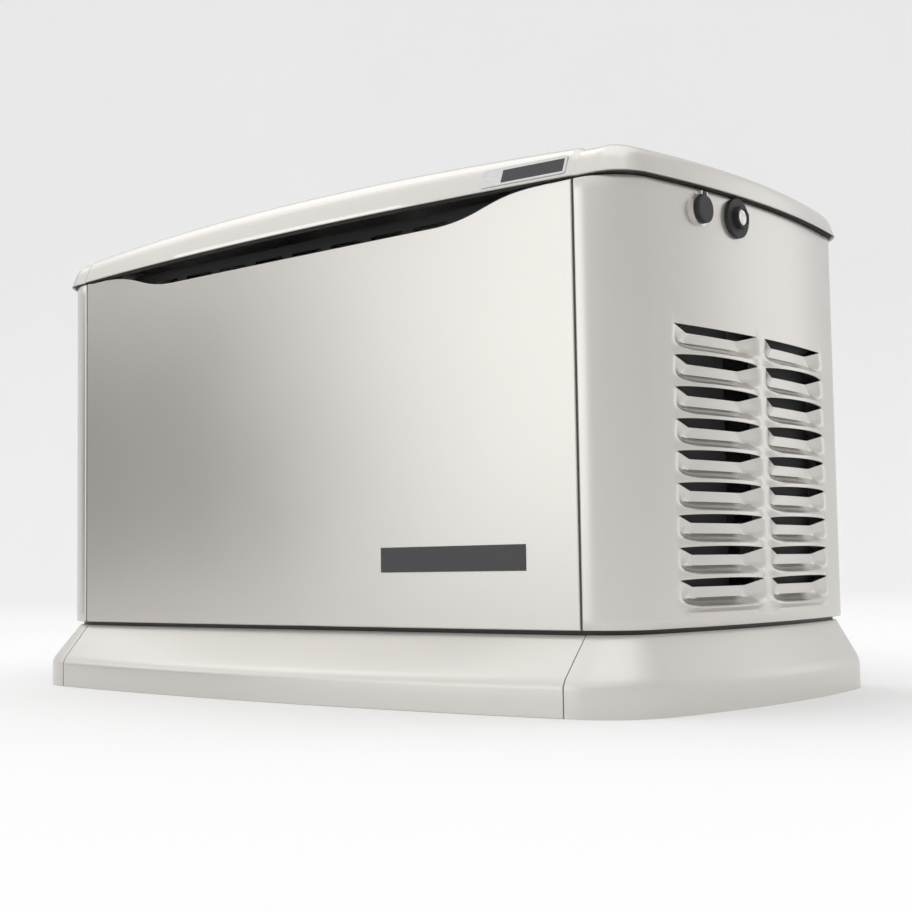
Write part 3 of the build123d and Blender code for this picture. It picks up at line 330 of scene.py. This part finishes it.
def laminated_core(name):
    """Stacked iron laminations with lacquered copper showing between them."""
    finish = Finish(name)
    along = finish.node("ShaderNodeSeparateXYZ", {}, {0: finish.place()}, output="X")
    sheets = finish.node("ShaderNodeMath", {"operation": "SINE"}, {0: along * 4200})
    lacquer = finish.noise(30, 5, 0.6)
    tone = finish.mix(lacquer.ramp(0.35, 0.7), (0.22, 0.11, 0.06), (0.34, 0.19, 0.11))
    return finish.surface(
        base_color=tone, metallic=0.6, roughness=0.4 + lacquer * 0.2, normal=finish.bump(sheets, 0.0002),
    )


def badge_plate(name):
    """Plain plate: a charcoal field with a brushed border."""
    finish = Finish(name)
    place = finish.place()
    across = finish.node("ShaderNodeSeparateXYZ", {}, {0: place}, output="X")
    up = finish.node("ShaderNodeSeparateXYZ", {}, {0: place}, output="Z")
    field = (across > BADGE_X[0]) * (BADGE_X[1] - across > 0) * (up > BADGE_Z[0]) * (BADGE_Z[1] - up > 0)
    streaks = finish.noise(1.0, 4, 0.6, finish.stretched((60, 900, 900)))
    metal = finish.mix(streaks.ramp(0.3, 0.7), (0.50, 0.50, 0.50), (0.62, 0.62, 0.61))
    return finish.surface(
        base_color=finish.mix(field, metal, (0.03, 0.03, 0.034)), metallic=0.9 - field * 0.8,
        roughness=0.3 + streaks * 0.12, normal=finish.bump(streaks, 0.00003),
    )


def floor_paint(name):
    """Plain pale studio floor."""
    finish = Finish(name)
    cloud = finish.noise(0.6, 3)
    return finish.surface(
        base_color=finish.mix(cloud, (0.86, 0.86, 0.86), (0.89, 0.89, 0.89)), roughness=0.85,
    )


BADGE_X = (0.4025, 0.4965)
BADGE_Z = (0.6825, 0.7005)
FINISHES = {
    "panel_paint": powder_coat("champagne_coat", CHAMPAGNE),
    "fascia_plastic": powder_coat("fascia_coat", shade(CHAMPAGNE, 1.02), 0.55, 0.3, 0.00008),
    "tray_paint": powder_coat("black_coat", (0.022, 0.022, 0.023), 0.1, 0.45),
    "dark_sheet": powder_coat("inlet_black", (0.012, 0.012, 0.013), 0.1, 0.55),
    "zinc_steel": bare_metal("zinc_plate", (0.60, 0.60, 0.59), 0.34),
    "bright_ring": bare_metal("satin_ring", (0.74, 0.73, 0.71), 0.26),
    "badge_metal": badge_plate("badge_plate"),
    "dark_plate": moulded_plastic("plate_charcoal", (0.035, 0.035, 0.038), 0.4),
    "black_plastic": moulded_plastic("black_nylon", (0.012, 0.0115, 0.0115), 0.5),
    "lens_plastic": gloss_lens("smoked_lens", (0.72, 0.70, 0.67)),
    "seal_foam": rubber("seal_foam"),
    "mount_rubber": rubber("mount_rubber"),
    "engine_alloy": cast_metal("cast_alloy", (0.50, 0.50, 0.49)),
    "iron": cast_metal("black_iron", (0.055, 0.055, 0.055), 0.5, 0.55),
    "machined_steel": bare_metal("ground_steel", (0.55, 0.55, 0.56), 0.22, (900, 30, 900)),
    "exhaust_steel": heated_steel("exhaust_steel"),
    "fan_plastic": moulded_plastic("fan_nylon", (0.03, 0.03, 0.03), 0.5),
    "shroud_paint": powder_coat("shroud_black", (0.018, 0.018, 0.018), 0.1, 0.4),
    "filter_plastic": moulded_plastic("filter_plastic", (0.022, 0.022, 0.022), 0.5),
    "filter_paint": powder_coat("filter_white", (0.72, 0.72, 0.70), 0.05, 0.28),
    "copper_iron": laminated_core("laminated_core"),
    "control_paint": powder_coat("control_grey", (0.16, 0.16, 0.165), 0.15, 0.42),
    "display_glass": gloss_lens("display_glass", (0.10, 0.15, 0.11)),
    "key_rubber": rubber("key_rubber", (0.06, 0.06, 0.062)),
    "battery_case": moulded_plastic("battery_case", (0.028, 0.028, 0.03), 0.42),
    "regulator_alloy": cast_metal("regulator_alloy", (0.56, 0.56, 0.55)),
    "hose_rubber": rubber("hose_rubber", (0.02, 0.02, 0.021)),
    "red_plastic": moulded_plastic("red_handle", (0.42, 0.03, 0.02), 0.4),
}


def paint_cad_nodes():
    """Every CAD node takes its slot's finish."""
    for name, node in nodes.items():
        node.data.materials.clear()
        node.data.materials.append(FINISHES[slot_of[name]])

# ---------------------------------------------------------------- outlines in plan

SHEET = 0.002
RIM_Z = 0.675
BODY_LOW, BODY_HIGH = 0.104, 0.672
SEAM = 0.5095
FOLD = 0.002
FOLD_EASE = 0.3
FLANGE = 0.018
STRAIGHT_BOW = 0.00001


def smooth(value, low, high):
    """0 below low, 1 above high, an S-curve between."""
    share = min(1.0, max(0.0, (value - low) / (high - low)))
    return share * share * (3 - 2 * share)


def spread(low, high, count):
    """count places from low to high, both ends included."""
    return [low + (high - low) * step / (count - 1) for step in range(count)]


class Plan:
    """A plan outline of four bowed edges: places and outward directions along its right half."""

    def __init__(
        self, half_length, side_radius, front_y, front_bow, rear_y, rear_bow, front_corner, rear_corner,
    ):
        self.side_x = half_length - side_radius
        self.side_r = side_radius
        self.front = self.bowed(front_y, front_bow, -1)
        self.rear = self.bowed(rear_y, rear_bow, 1)
        self.front_fillet = self.tangent_circle(self.front, front_corner, -1)
        self.rear_fillet = self.tangent_circle(self.rear, rear_corner, 1)

    def bowed(self, y, bow, outward):
        """Centre height and radius of a front or rear edge whose sharp corners are at y."""
        corner_x = self.side_x + sqrt(self.side_r**2 - y**2)
        bow = max(bow, STRAIGHT_BOW)
        radius = (corner_x**2 + bow**2) / (2 * bow)
        return y + outward * (bow - radius), radius

    def tangent_circle(self, edge, corner_r, outward):
        """Centre and radius of the rounded corner between a bowed edge and the side."""
        edge_y, edge_r = edge
        near, far = edge_r - corner_r, self.side_r - corner_r
        apart = hypot(self.side_x, edge_y)
        along = (near**2 - far**2 + apart**2) / (2 * apart)
        off = sqrt(near**2 - along**2)
        toward = complex(self.side_x, -edge_y) / apart
        meets = [complex(0, edge_y) + toward * complex(along, turn * off) for turn in (-1, 1)]
        return max(meets, key=lambda place: place.real), corner_r

    def end_walk(self, front_stops, side_stops, rear_stops, corner_steps=14):
        """(place, outward, kind) from the front edge round the right end to the rear edge."""
        front, rear, side = complex(0, self.front[0]), complex(0, self.rear[0]), complex(self.side_x, 0)
        walk = [self.on_edge(self.front, x, -1, "front") for x in front_stops]
        walk += self.corner(self.front_fillet, front, side, corner_steps)
        if isinstance(side_stops, int):
            first, last = self.side_angle(self.front_fillet), self.side_angle(self.rear_fillet)
            angles = spread(first, last, side_stops)[1:-1]
        else:
            angles = [atan2(y, sqrt(self.side_r**2 - y**2)) for y in side_stops]
        for angle in angles:
            out = complex(cos(angle), sin(angle))
            walk.append(self.stop(side + self.side_r * out, out, "side"))
        walk += self.corner(self.rear_fillet, side, rear, corner_steps)
        walk += [self.on_edge(self.rear, x, 1, "rear") for x in rear_stops]
        return walk

    def stop(self, place, out, kind):
        return Vector((place.real, place.imag)), Vector((out.real, out.imag)), kind

    def on_edge(self, edge, x, outward, kind):
        """The place at x on the bowed front or rear edge."""
        centre_y, radius = edge
        out = complex(x, outward * sqrt(radius**2 - x**2)) / radius
        return self.stop(complex(0, centre_y) + radius * out, out, kind)

    def side_angle(self, fillet):
        centre, _ = fillet
        return atan2(centre.imag, centre.real - self.side_x)

    def corner(self, fillet, from_centre, to_centre, steps):
        """Places along a rounded corner, both tangent points included."""
        centre, radius = fillet
        starts = [centre - from_centre, centre - to_centre]
        start, end = (atan2(ray.imag, ray.real) for ray in starts)
        outs = [complex(cos(turn), sin(turn)) for turn in spread(start, end, steps)]
        return [self.stop(centre + radius * out, out, "corner") for out in outs]


BODY = Plan(0.601, 1.460, -0.288, 0.007, 0.311, 0, 0.074, 0.058)
LID = Plan(0.609, 1.500, -0.285, 0.034, 0.319, 0, 0.060, 0.060)
FASCIA = Plan(0.635, 1.300, -0.3215, 0.042, 0.3215, 0.042, 0.105, 0.105)


CREASE_ANGLE = radians(32)
DOUBLE_GAP = 0.00002


def plain_mesh(piece, name):
    """The piece's mesh becomes what its modifiers make of it, and the modifiers go."""
    made = piece.evaluated_get(bpy.context.evaluated_depsgraph_get())
    piece.data = bpy.data.meshes.new_from_object(made)
    piece.data.name = name
    piece.modifiers.clear()


def attach(piece, body, replaced):
    """Smooth the piece between its crisp edges and fix it to its body."""
    piece.data.shade_smooth()
    piece.data.set_sharp_from_angle(angle=CREASE_ANGLE)
    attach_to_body(piece, body)
    if replaced:
        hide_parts(*replaced)


def eased(piece, width, segments, angle=radians(30)):
    """Round over the piece's edges that turn by more than the angle."""
    ease = piece.modifiers.new("ease", "BEVEL")
    ease.width = width
    ease.segments = segments
    ease.limit_method = "ANGLE"
    ease.angle_limit = angle


def build(name, verts, faces, material, body, replaced=(), wall=None, mirrored=False):
    """A finished piece from its points and faces: doubles merged, walls thickened, edges kept crisp."""
    if mirrored:
        verts = [(-x, y, z) for x, y, z in verts]
        faces = [tuple(reversed(face)) for face in faces]
    mesh = bpy.data.meshes.new(name)
    mesh.from_pydata(verts, [], faces)
    work = bmesh.new()
    work.from_mesh(mesh)
    bmesh.ops.remove_doubles(work, verts=work.verts, dist=DOUBLE_GAP)
    bmesh.ops.dissolve_degenerate(work, edges=work.edges, dist=DOUBLE_GAP)
    work.to_mesh(mesh)
    work.free()
    mesh.materials.append(FINISHES[material])
    piece = bpy.data.objects.new(name, mesh)
    scene.collection.objects.link(piece)
    if wall:
        solid = piece.modifiers.new("wall", "SOLIDIFY")
        solid.thickness = wall
        solid.offset = -1
        plain_mesh(piece, name)
    attach(piece, body, replaced)
    return piece


def strip_faces(stations, levels, skip=()):
    """Faces between neighbouring stations and levels, outward for stations that run anticlockwise."""
    return [
        (j * levels + k, j * levels + k + 1, (j + 1) * levels + k + 1, (j + 1) * levels + k)
        for j in range(stations - 1) for k in range(levels - 1) if (j, k) not in skip
    ]


# ---------------------------------------------------------------- louvred end panels

LOUVRE_ROWS = 9
LOUVRE_PITCH = 0.0408
LOUVRE_TOP = 0.490
LOUVRE_WIDTH = 0.190
LOUVRE_STARTS = (-0.188, 0.022)
LOUVRE_RAMP = 0.19
SLIT_GAP = 0.0085
BLADE_PUSH = 0.011
BLADE_LIP = 0.0085
LIP_RAISE = 0.0028
BLADE_STEPS = 12
RAMP_STOPS = (0, 0.03, 0.07, 0.11, 0.15, 0.18, 0.20, 0.24, 0.30, 0.36, 0.43, 0.5)


def blade(u, h, last):
    """Outward push and rise of a louvre blade at u along it and h down it."""
    end = min(u, 1 - u)
    ramp = LOUVRE_RAMP * (1 - 0.8 * min(1, h / 0.8)) + 0.02
    trough = min(1.0, end / ramp)
    arch = (4 * u * (1 - u)) ** 0.62
    turned = smooth(h, 0.42, 0.84)
    closing = 1 - last * smooth(h, 0.84, 1.0)
    push = -BLADE_PUSH * trough * (1 - turned) + BLADE_LIP * arch * turned * closing
    top_gap = SLIT_GAP * min(1.0, end / LOUVRE_RAMP)
    rise = LIP_RAISE * arch * h**3 * (1 - last)
    return push, -top_gap * (1 - h) + rise


def end_panel(name, mirrored):
    """Side panel wrapped round both corners, with two columns of pressed louvres."""
    half_stops = list(RAMP_STOPS)
    stops = half_stops + [1 - stop for stop in reversed(half_stops[:-1])]
    columns = [[start + LOUVRE_WIDTH * stop for stop in stops] for start in LOUVRE_STARTS]
    side_stops = spread(-0.205, LOUVRE_STARTS[0] - 0.006, 3)
    side_stops += columns[0] + [sum((columns[0][-1], columns[1][0])) / 2] + columns[1] + [0.222, 0.236]
    walk = BODY.end_walk([SEAM + FOLD], side_stops, spread(0.518, SEAM + FOLD, 3))
    front, rear = walk[0][0], walk[-1][0]
    ease = FOLD_EASE * FOLD
    inward, slant = Vector((-1, 0)), Vector((-0.7, -0.7))
    opening = [
        (Vector((SEAM, front.y + FLANGE)), inward, "fold"),
        (Vector((SEAM, front.y + FOLD)), inward, "fold"),
        (Vector((SEAM + ease, front.y + ease)), slant, "fold"),
    ]
    closing = [
        (Vector((SEAM + ease, rear.y - ease)), Vector((-0.7, 0.7)), "fold"),
        (Vector((SEAM, rear.y - FOLD)), inward, "fold"),
        (Vector((SEAM, rear.y - FLANGE)), inward, "fold"),
    ]
    walk = opening + walk + closing
    high = [(FLANGE, BODY_HIGH), (FOLD, BODY_HIGH), (ease, BODY_HIGH - ease), (0, BODY_HIGH - FOLD)]
    low = [(inset, BODY_LOW + BODY_HIGH - z) for inset, z in reversed(high)]
    plain = [(0, z) for z in (0.655, 0.62, 0.58, 0.54, 0.51, LOUVRE_TOP)]
    blades = [(row, step / BLADE_STEPS) for row in range(LOUVRE_ROWS) for step in range(BLADE_STEPS + 1)]
    foot = LOUVRE_TOP - LOUVRE_ROWS * LOUVRE_PITCH
    tail = [(0, foot - 0.006)]
    verts = []
    for place, out, kind in walk:
        u = None
        for start in LOUVRE_STARTS:
            share = (place.y - start) / LOUVRE_WIDTH
            if kind == "side" and -1e-6 <= share <= 1 + 1e-6:
                u = min(1.0, max(0.0, share))
        fold = kind == "fold"
        for inset, z in high + plain:
            spot = place - out * (0 if fold else inset)
            verts.append((spot.x, spot.y, z))
        for row, h in blades:
            push, rise = blade(u, h, row == LOUVRE_ROWS - 1) if u is not None else (0, 0)
            spot = place + out * push
            verts.append((spot.x, spot.y, LOUVRE_TOP - (row + h) * LOUVRE_PITCH + rise))
        for inset, z in tail + low:
            spot = place - out * (0 if fold else inset)
            verts.append((spot.x, spot.y, z))
    levels = len(high) + len(plain) + len(blades) + len(tail) + len(low)
    first_blade = len(high) + len(plain)
    cuts = {first_blade - 1 + row * (BLADE_STEPS + 1) for row in range(LOUVRE_ROWS)}
    folds = (0, 1, 2, len(walk) - 4, len(walk) - 3, len(walk) - 2)
    skip = {(j, k) for j in range(len(walk) - 1) for k in cuts}
    skip |= {(j, k) for j in folds for k in (0, 1, levels - 3, levels - 2)}
    side = "left" if mirrored else "right"
    build(name, verts, strip_faces(len(walk), levels, skip), "panel_paint", "enclosure",
          (f"{side}_side_panel",), SHEET, mirrored)


# ---------------------------------------------------------------- lid

LID_LEAN = radians(20)
LID_TOP = 0.732
LID_CROWN = 12.0
LID_WALL = 0.0025
LID_EDGE = 0.024
PROUD_HALF = 0.510
PROUD = 0.0028


def crown_z(x, y):
    return LID_TOP - (x * x + y * y) / (2 * LID_CROWN)


def crease_depth(x):
    """The lid steps in by a little at each crease and comes out again round the corner."""
    reach = abs(x)
    return PROUD * smooth(reach, PROUD_HALF - 0.003, PROUD_HALF + 0.004) * (1 - smooth(reach, 0.522, 0.572))


def lid_shell():
    """Folded lid: leaning walls, a rounded edge and a crowned roof, with a crease above each seam."""
    fine = [0.500, 0.504, 0.507, 0.510, 0.513, 0.516, 0.5185]
    front_stops = spread(0, 0.49, 22) + fine
    rear_stops = spread(0.522, 0, 14)
    half = LID.end_walk(front_stops, 26, rear_stops, 16)
    left = [(Vector((-p.x, p.y)), Vector((-n.x, n.y)), kind) for p, n, kind in reversed(half[1:-1])]
    walk = half + left
    rings = []
    wall_steps, edge_steps, roof_steps = 6, 8, 26
    for place, out, kind in walk:
        step = crease_depth(place.x) if place.y < -0.2 else 0
        height = crown_z(place.x, place.y) - RIM_Z
        corner = height * tan(LID_LEAN)
        start = (corner - LID_EDGE * sin(LID_LEAN), RIM_Z + height - LID_EDGE * cos(LID_LEAN))
        end = (corner + LID_EDGE, RIM_Z + height)
        profile = [(0.0008, RIM_Z), (0.0, RIM_Z + 0.0012)]
        profile += [(start[0] * s, RIM_Z + (start[1] - RIM_Z) * s) for s in spread(0.06, 1, wall_steps)]
        for s in spread(0, 1, edge_steps)[1:]:
            a, b, c = (1 - s) ** 2, 2 * s * (1 - s), s * s
            inset = a * start[0] + b * corner + c * end[0]
            z = a * start[1] + b * (RIM_Z + height) + c * end[1]
            profile.append((inset, z))
        ring = []
        for inset, z in profile:
            spot = place - out * (inset + step)
            ring.append((spot.x, spot.y, z - 0.8 * step * smooth(z, RIM_Z + 0.02, RIM_Z + height)))
        edge_x, edge_y, _ = ring[-1]
        for s in spread(0, 1, roof_steps)[1:-1]:
            shrink = (1 - s) ** 1.3
            x, y = edge_x * shrink, edge_y * shrink
            dip = 0.8 * crease_depth(x) * (1 - smooth(y, -0.26, 0.0))
            ring.append((x, y, crown_z(x, y) - dip))
        rings.append(ring)
    rings.append(rings[0])
    levels = len(rings[0])
    verts = [spot for ring in rings for spot in ring]
    faces = [tuple(reversed(face)) for face in strip_faces(len(rings), levels)]
    middle = len(verts)
    verts.append((0, 0, LID_TOP))
    faces += [
        (j * levels + levels - 1, (j + 1) * levels + levels - 1, middle) for j in range(len(rings) - 1)
    ]
    build("lid_shell", verts, faces, "panel_paint", "lid", ("lid",), LID_WALL)


def folded_strip(name, profile, width, middle_y, material, body, thick=0.003, mirrored=False):
    """A bracket bent from flat strip: its profile in x and z, its width along y, corners eased."""
    verts = [(x, middle_y + side * width / 2, z) for side in (-1, 1) for x, z in profile]
    count = len(profile)
    faces = [(k, k + 1, count + k + 1, count + k) for k in range(count - 1)]
    eased(build(name, verts, faces, material, body, (), thick, mirrored), 0.0006, 2)


# ---------------------------------------------------------------- base fascia

FASCIA_FOLD = 0.042
FASCIA_TOP = 0.099
FASCIA_TUCK = 0.007
FASCIA_WALL = 0.003
FASCIA_SEAM = 0.511


def fascia_levels():
    """(share of the way from the skirt to the upper edge, height) down the fascia's section."""
    rounding = []
    for s in spread(0, 1, 7):
        a, b, c = (1 - s) ** 2, 2 * s * (1 - s), s * s
        rounding.append((c * 0.14, a * (FASCIA_FOLD - 0.008) + b * FASCIA_FOLD + c * (FASCIA_FOLD + 0.008)))
    top = [(1.0, FASCIA_TOP - 0.0005), (0.98, FASCIA_TOP - 0.0012)]
    slope = [(s, FASCIA_FOLD + (FASCIA_TOP - FASCIA_FOLD) * s) for s in (0.9, 0.7, 0.5, 0.3)]
    return top + slope + rounding[::-1] + [(0, 0.02), (0, 0.0)]


def fascia_piece(name, skirt, upper, mirrored=False, node=None):
    """One moulded length of the fascia between two seams."""
    levels = fascia_levels()
    verts = []
    for (low, _, _), (high, out, _) in zip(skirt, upper):
        edge = high - out * FASCIA_TUCK
        for share, z in levels:
            spot = low.lerp(edge, share)
            verts.append((spot.x, spot.y, z))
    faces = strip_faces(len(skirt), len(levels))
    piece = build(name, verts, faces, "fascia_plastic", "enclosure", (node,), FASCIA_WALL, mirrored)
    eased(piece, 0.0012, 3, radians(40))


def fascia():
    """Front, rear and two end lengths of the fascia."""
    seam = FASCIA_SEAM + 0.0005
    ends = (
        FASCIA.end_walk(spread(seam, 0.519, 3), 24, spread(0.519, seam, 3)),
        BODY.end_walk(spread(seam, seam + 0.0002, 3), 24, spread(0.518, seam, 3)),
    )
    fascia_piece("fascia_skirt_right", *ends, node="fascia_right")
    fascia_piece("fascia_skirt_left", *ends, mirrored=True, node="fascia_left")
    across = spread(-FASCIA_SEAM + 0.001, FASCIA_SEAM - 0.001, 41)
    for edge, outward, stops in (("front", -1, across), ("rear", 1, across[::-1])):
        rows = [
            [plan.on_edge(getattr(plan, edge), x, outward, edge) for x in stops] for plan in (FASCIA, BODY)
        ]
        fascia_piece(f"fascia_skirt_{edge}", *rows, node=f"fascia_{edge}")


# ---------------------------------------------------------------- back panel screws

SCREW_R = 0.005
SCREW_HEIGHT = 0.0035
SCREW_Y = 0.311
SCREW_X = 0.4975
SCREW_HEIGHTS = (0.124, 0.300, 0.476, 0.652)
SCREW_SEED = 7


class Shape(Tree):
    """A geometry node tree with named inputs, which makes a plain mesh object."""

    def __init__(self, name, **sizes):
        super().__init__(bpy.data.node_groups.new(name, "GeometryNodeTree"))
        self.sizes = {}
        sockets = self.tree.interface
        sockets.new_socket("Geometry", in_out="INPUT", socket_type="NodeSocketGeometry")
        for label, value in sizes.items():
            socket = sockets.new_socket(label, in_out="INPUT", socket_type="NodeSocketFloat")
            self.sizes[label] = (socket.identifier, value)
        sockets.new_socket("Geometry", in_out="OUTPUT", socket_type="NodeSocketGeometry")
        self.given = self.tree.nodes.new("NodeGroupInput")

    def size(self, label):
        return Value(self, self.given.outputs[label])

    def placed(self):
        """The piece's own x, y and z, as fields."""
        position = self.node("GeometryNodeInputPosition")
        return [self.node("ShaderNodeSeparateXYZ", {}, {0: position}, output=axis) for axis in "XYZ"]

    def moved(self, geometry, x, y, z):
        place = self.node("ShaderNodeCombineXYZ", {}, {0: x, 1: y, 2: z})
        return self.node("GeometryNodeSetPosition", {}, {"Geometry": geometry, "Position": place})

    def finish(self, geometry, name, points, material, body, replaced):
        """Realized, painted and turned into a plain mesh that rides its body."""
        real = self.node("GeometryNodeRealizeInstances", {}, {0: geometry})
        painted = self.node("GeometryNodeSetMaterial", {}, {0: real, "Material": FINISHES[material]})
        end = self.tree.nodes.new("NodeGroupOutput")
        self.tree.links.new(painted.socket, end.inputs[0])
        mesh = bpy.data.meshes.new(name)
        mesh.from_pydata(points, [], [])
        piece = bpy.data.objects.new(name, mesh)
        scene.collection.objects.link(piece)
        grown = piece.modifiers.new("grown", "NODES")
        grown.node_group = self.tree
        for identifier, value in self.sizes.values():
            grown[identifier] = value
        plain_mesh(piece, name)
        attach(piece, body, replaced)


def back_screws():
    """Hex screws with a coned flange, each turned by its own amount, down both edges of the back panel."""
    shape = Shape("back_screws", radius=SCREW_R, height=SCREW_HEIGHT)
    radius, height = shape.size("radius"), shape.size("height")
    x, y, z = shape.placed()
    reach = (x * x + y * y) / (radius * radius)
    flange = shape.node("GeometryNodeMeshCylinder", {}, {
        "Vertices": 30, "Fill Segments": 3, "Radius": radius, "Depth": height * 0.4,
    })
    flange = shape.moved(flange, x, y, z + height * 0.2 + (z > 0) * (1 - reach) * height * 0.12)
    head = shape.node("GeometryNodeMeshCylinder", {}, {
        "Vertices": 6, "Fill Segments": 5, "Radius": radius * 0.74, "Depth": height * 0.7,
    })
    eased = (z > 0) * (reach.ramp(0.3, 0.55) * height * 0.14)
    head = shape.moved(head, x, y, z + height * 0.65 - eased)
    joined = shape.node("GeometryNodeJoinGeometry")
    for part in (flange, head):
        shape.tree.links.new(part.socket, joined.socket.node.inputs[0])
    turns = {2: 0.0, 3: pi / 3, 8: SCREW_SEED}
    turn = shape.node("FunctionNodeRandomValue", {"data_type": "FLOAT"}, turns, output=1)
    facing = shape.node("ShaderNodeCombineXYZ", {}, {0: -pi / 2, 1: turn, 2: 0.0})
    spread_out = shape.node("GeometryNodeInstanceOnPoints", {}, {
        "Points": Value(shape, shape.given.outputs["Geometry"]), "Instance": joined, "Rotation": facing,
    })
    points = [(x, SCREW_Y, z) for x in (-SCREW_X, SCREW_X) for z in SCREW_HEIGHTS]
    node = "panel_screws"
    shape.finish(spread_out, "back_screws", points, slot_of[node], body_of[node], (node,))


# ---------------------------------------------------------------- lid catches and louvre liners

CATCH = ((0.575, 0.628), (0.566, 0.628), (0.566, 0.690), (0.590, 0.690))
CATCH_WIDTH = 0.018
CATCH_Y = -0.100
LINER = ((0.560, 0.112), (0.566, 0.118), (0.566, 0.462), (0.574, 0.500))
LINER_WIDTH = 0.165
LINER_COLUMNS = (("front", -0.1155), ("rear", 0.1155))
LINER_SHEET = 0.0015


def lid_catches():
    """A bent tongue inside each end of the lid, which the lock's cam comes under."""
    for end in ("right", "left"):
        name = f"lid_catch_{end}"
        folded_strip(name, CATCH, CATCH_WIDTH, CATCH_Y, "panel_paint", "lid", mirrored=end == "left")


def louvre_liners():
    """Black sheets that stand behind the louvres and hide the inside."""
    for end in ("right", "left"):
        for column, middle_y in LINER_COLUMNS:
            folded_strip(
                f"louvre_liner_{end}_{column}", LINER, LINER_WIDTH, middle_y, "dark_sheet", "enclosure",
                LINER_SHEET, end == "left",
            )


# ---------------------------------------------------------------- studio light

CENTRE = (0, 0, 0.36)
TOP_LIGHT_PLACE = (0.4, 0.2, 3.6)
TOP_LIGHT_SIZE = (4.0, 3.0)
TOP_LIGHT_POWER = 14
SKY_BASE = 0.78
# each lobe: its direction, where it starts to fade and where it ends in degrees, its strength
SKY_LOBES = (
    ((-0.15, -0.35, 1), 20, 70, 0.4),
    ((-0.66, 0.05, 0.72), 10, 26, 0.7),
    ((-0.50, -0.86, 0.10), 8, 20, 1.0),
    ((-0.85, -0.45, 0.34), 3, 12, 0.8),
    ((-0.83, -0.56, -0.02), 6, 18, -0.76),
    ((0.22, 0.96, 0.15), 8, 34, 0.6),
)


def studio_sky():
    """An even white studio, darker towards the front left, so that satin paint shows its bows."""
    world = bpy.data.worlds.new("studio")
    world.use_nodes = True
    tree = world.node_tree
    background = tree.nodes["Background"]
    direction = tree.nodes.new("ShaderNodeTexCoord").outputs["Generated"]
    total = None
    for aim, inner, outer, gain in SKY_LOBES:
        dot = tree.nodes.new("ShaderNodeVectorMath")
        dot.operation = "DOT_PRODUCT"
        tree.links.new(direction, dot.inputs[0])
        dot.inputs[1].default_value = Vector(aim).normalized()
        lobe = tree.nodes.new("ShaderNodeMapRange")
        lobe.interpolation_type = "SMOOTHSTEP"
        tree.links.new(dot.outputs["Value"], lobe.inputs["Value"])
        lobe.inputs["From Min"].default_value = cos(radians(outer))
        lobe.inputs["From Max"].default_value = cos(radians(inner))
        lobe.inputs["To Min"].default_value = 0
        lobe.inputs["To Max"].default_value = gain
        if total is None:
            total = lobe.outputs["Result"]
        else:
            add = tree.nodes.new("ShaderNodeMath")
            add.operation = "ADD"
            tree.links.new(total, add.inputs[0])
            tree.links.new(lobe.outputs["Result"], add.inputs[1])
            total = add.outputs["Value"]
    base = tree.nodes.new("ShaderNodeMath")
    base.operation = "ADD"
    base.use_clamp = False
    tree.links.new(total, base.inputs[0])
    base.inputs[1].default_value = SKY_BASE
    tree.links.new(base.outputs["Value"], background.inputs["Strength"])
    background.inputs["Color"].default_value = (1, 1, 1, 1)
    scene.world = world


# ---------------------------------------------------------------- the scene

make_camera()
paint_cad_nodes()
back_screws()
make_floor(floor_paint("floor_paint"))
end_panel("louvred_end_right", False)
end_panel("louvred_end_left", True)
lid_shell()
lid_catches()
fascia()
louvre_liners()
soft_box("top_light", TOP_LIGHT_PLACE, CENTRE, *TOP_LIGHT_SIZE, TOP_LIGHT_POWER)
studio_sky()
scene.view_settings.view_transform = "Standard"
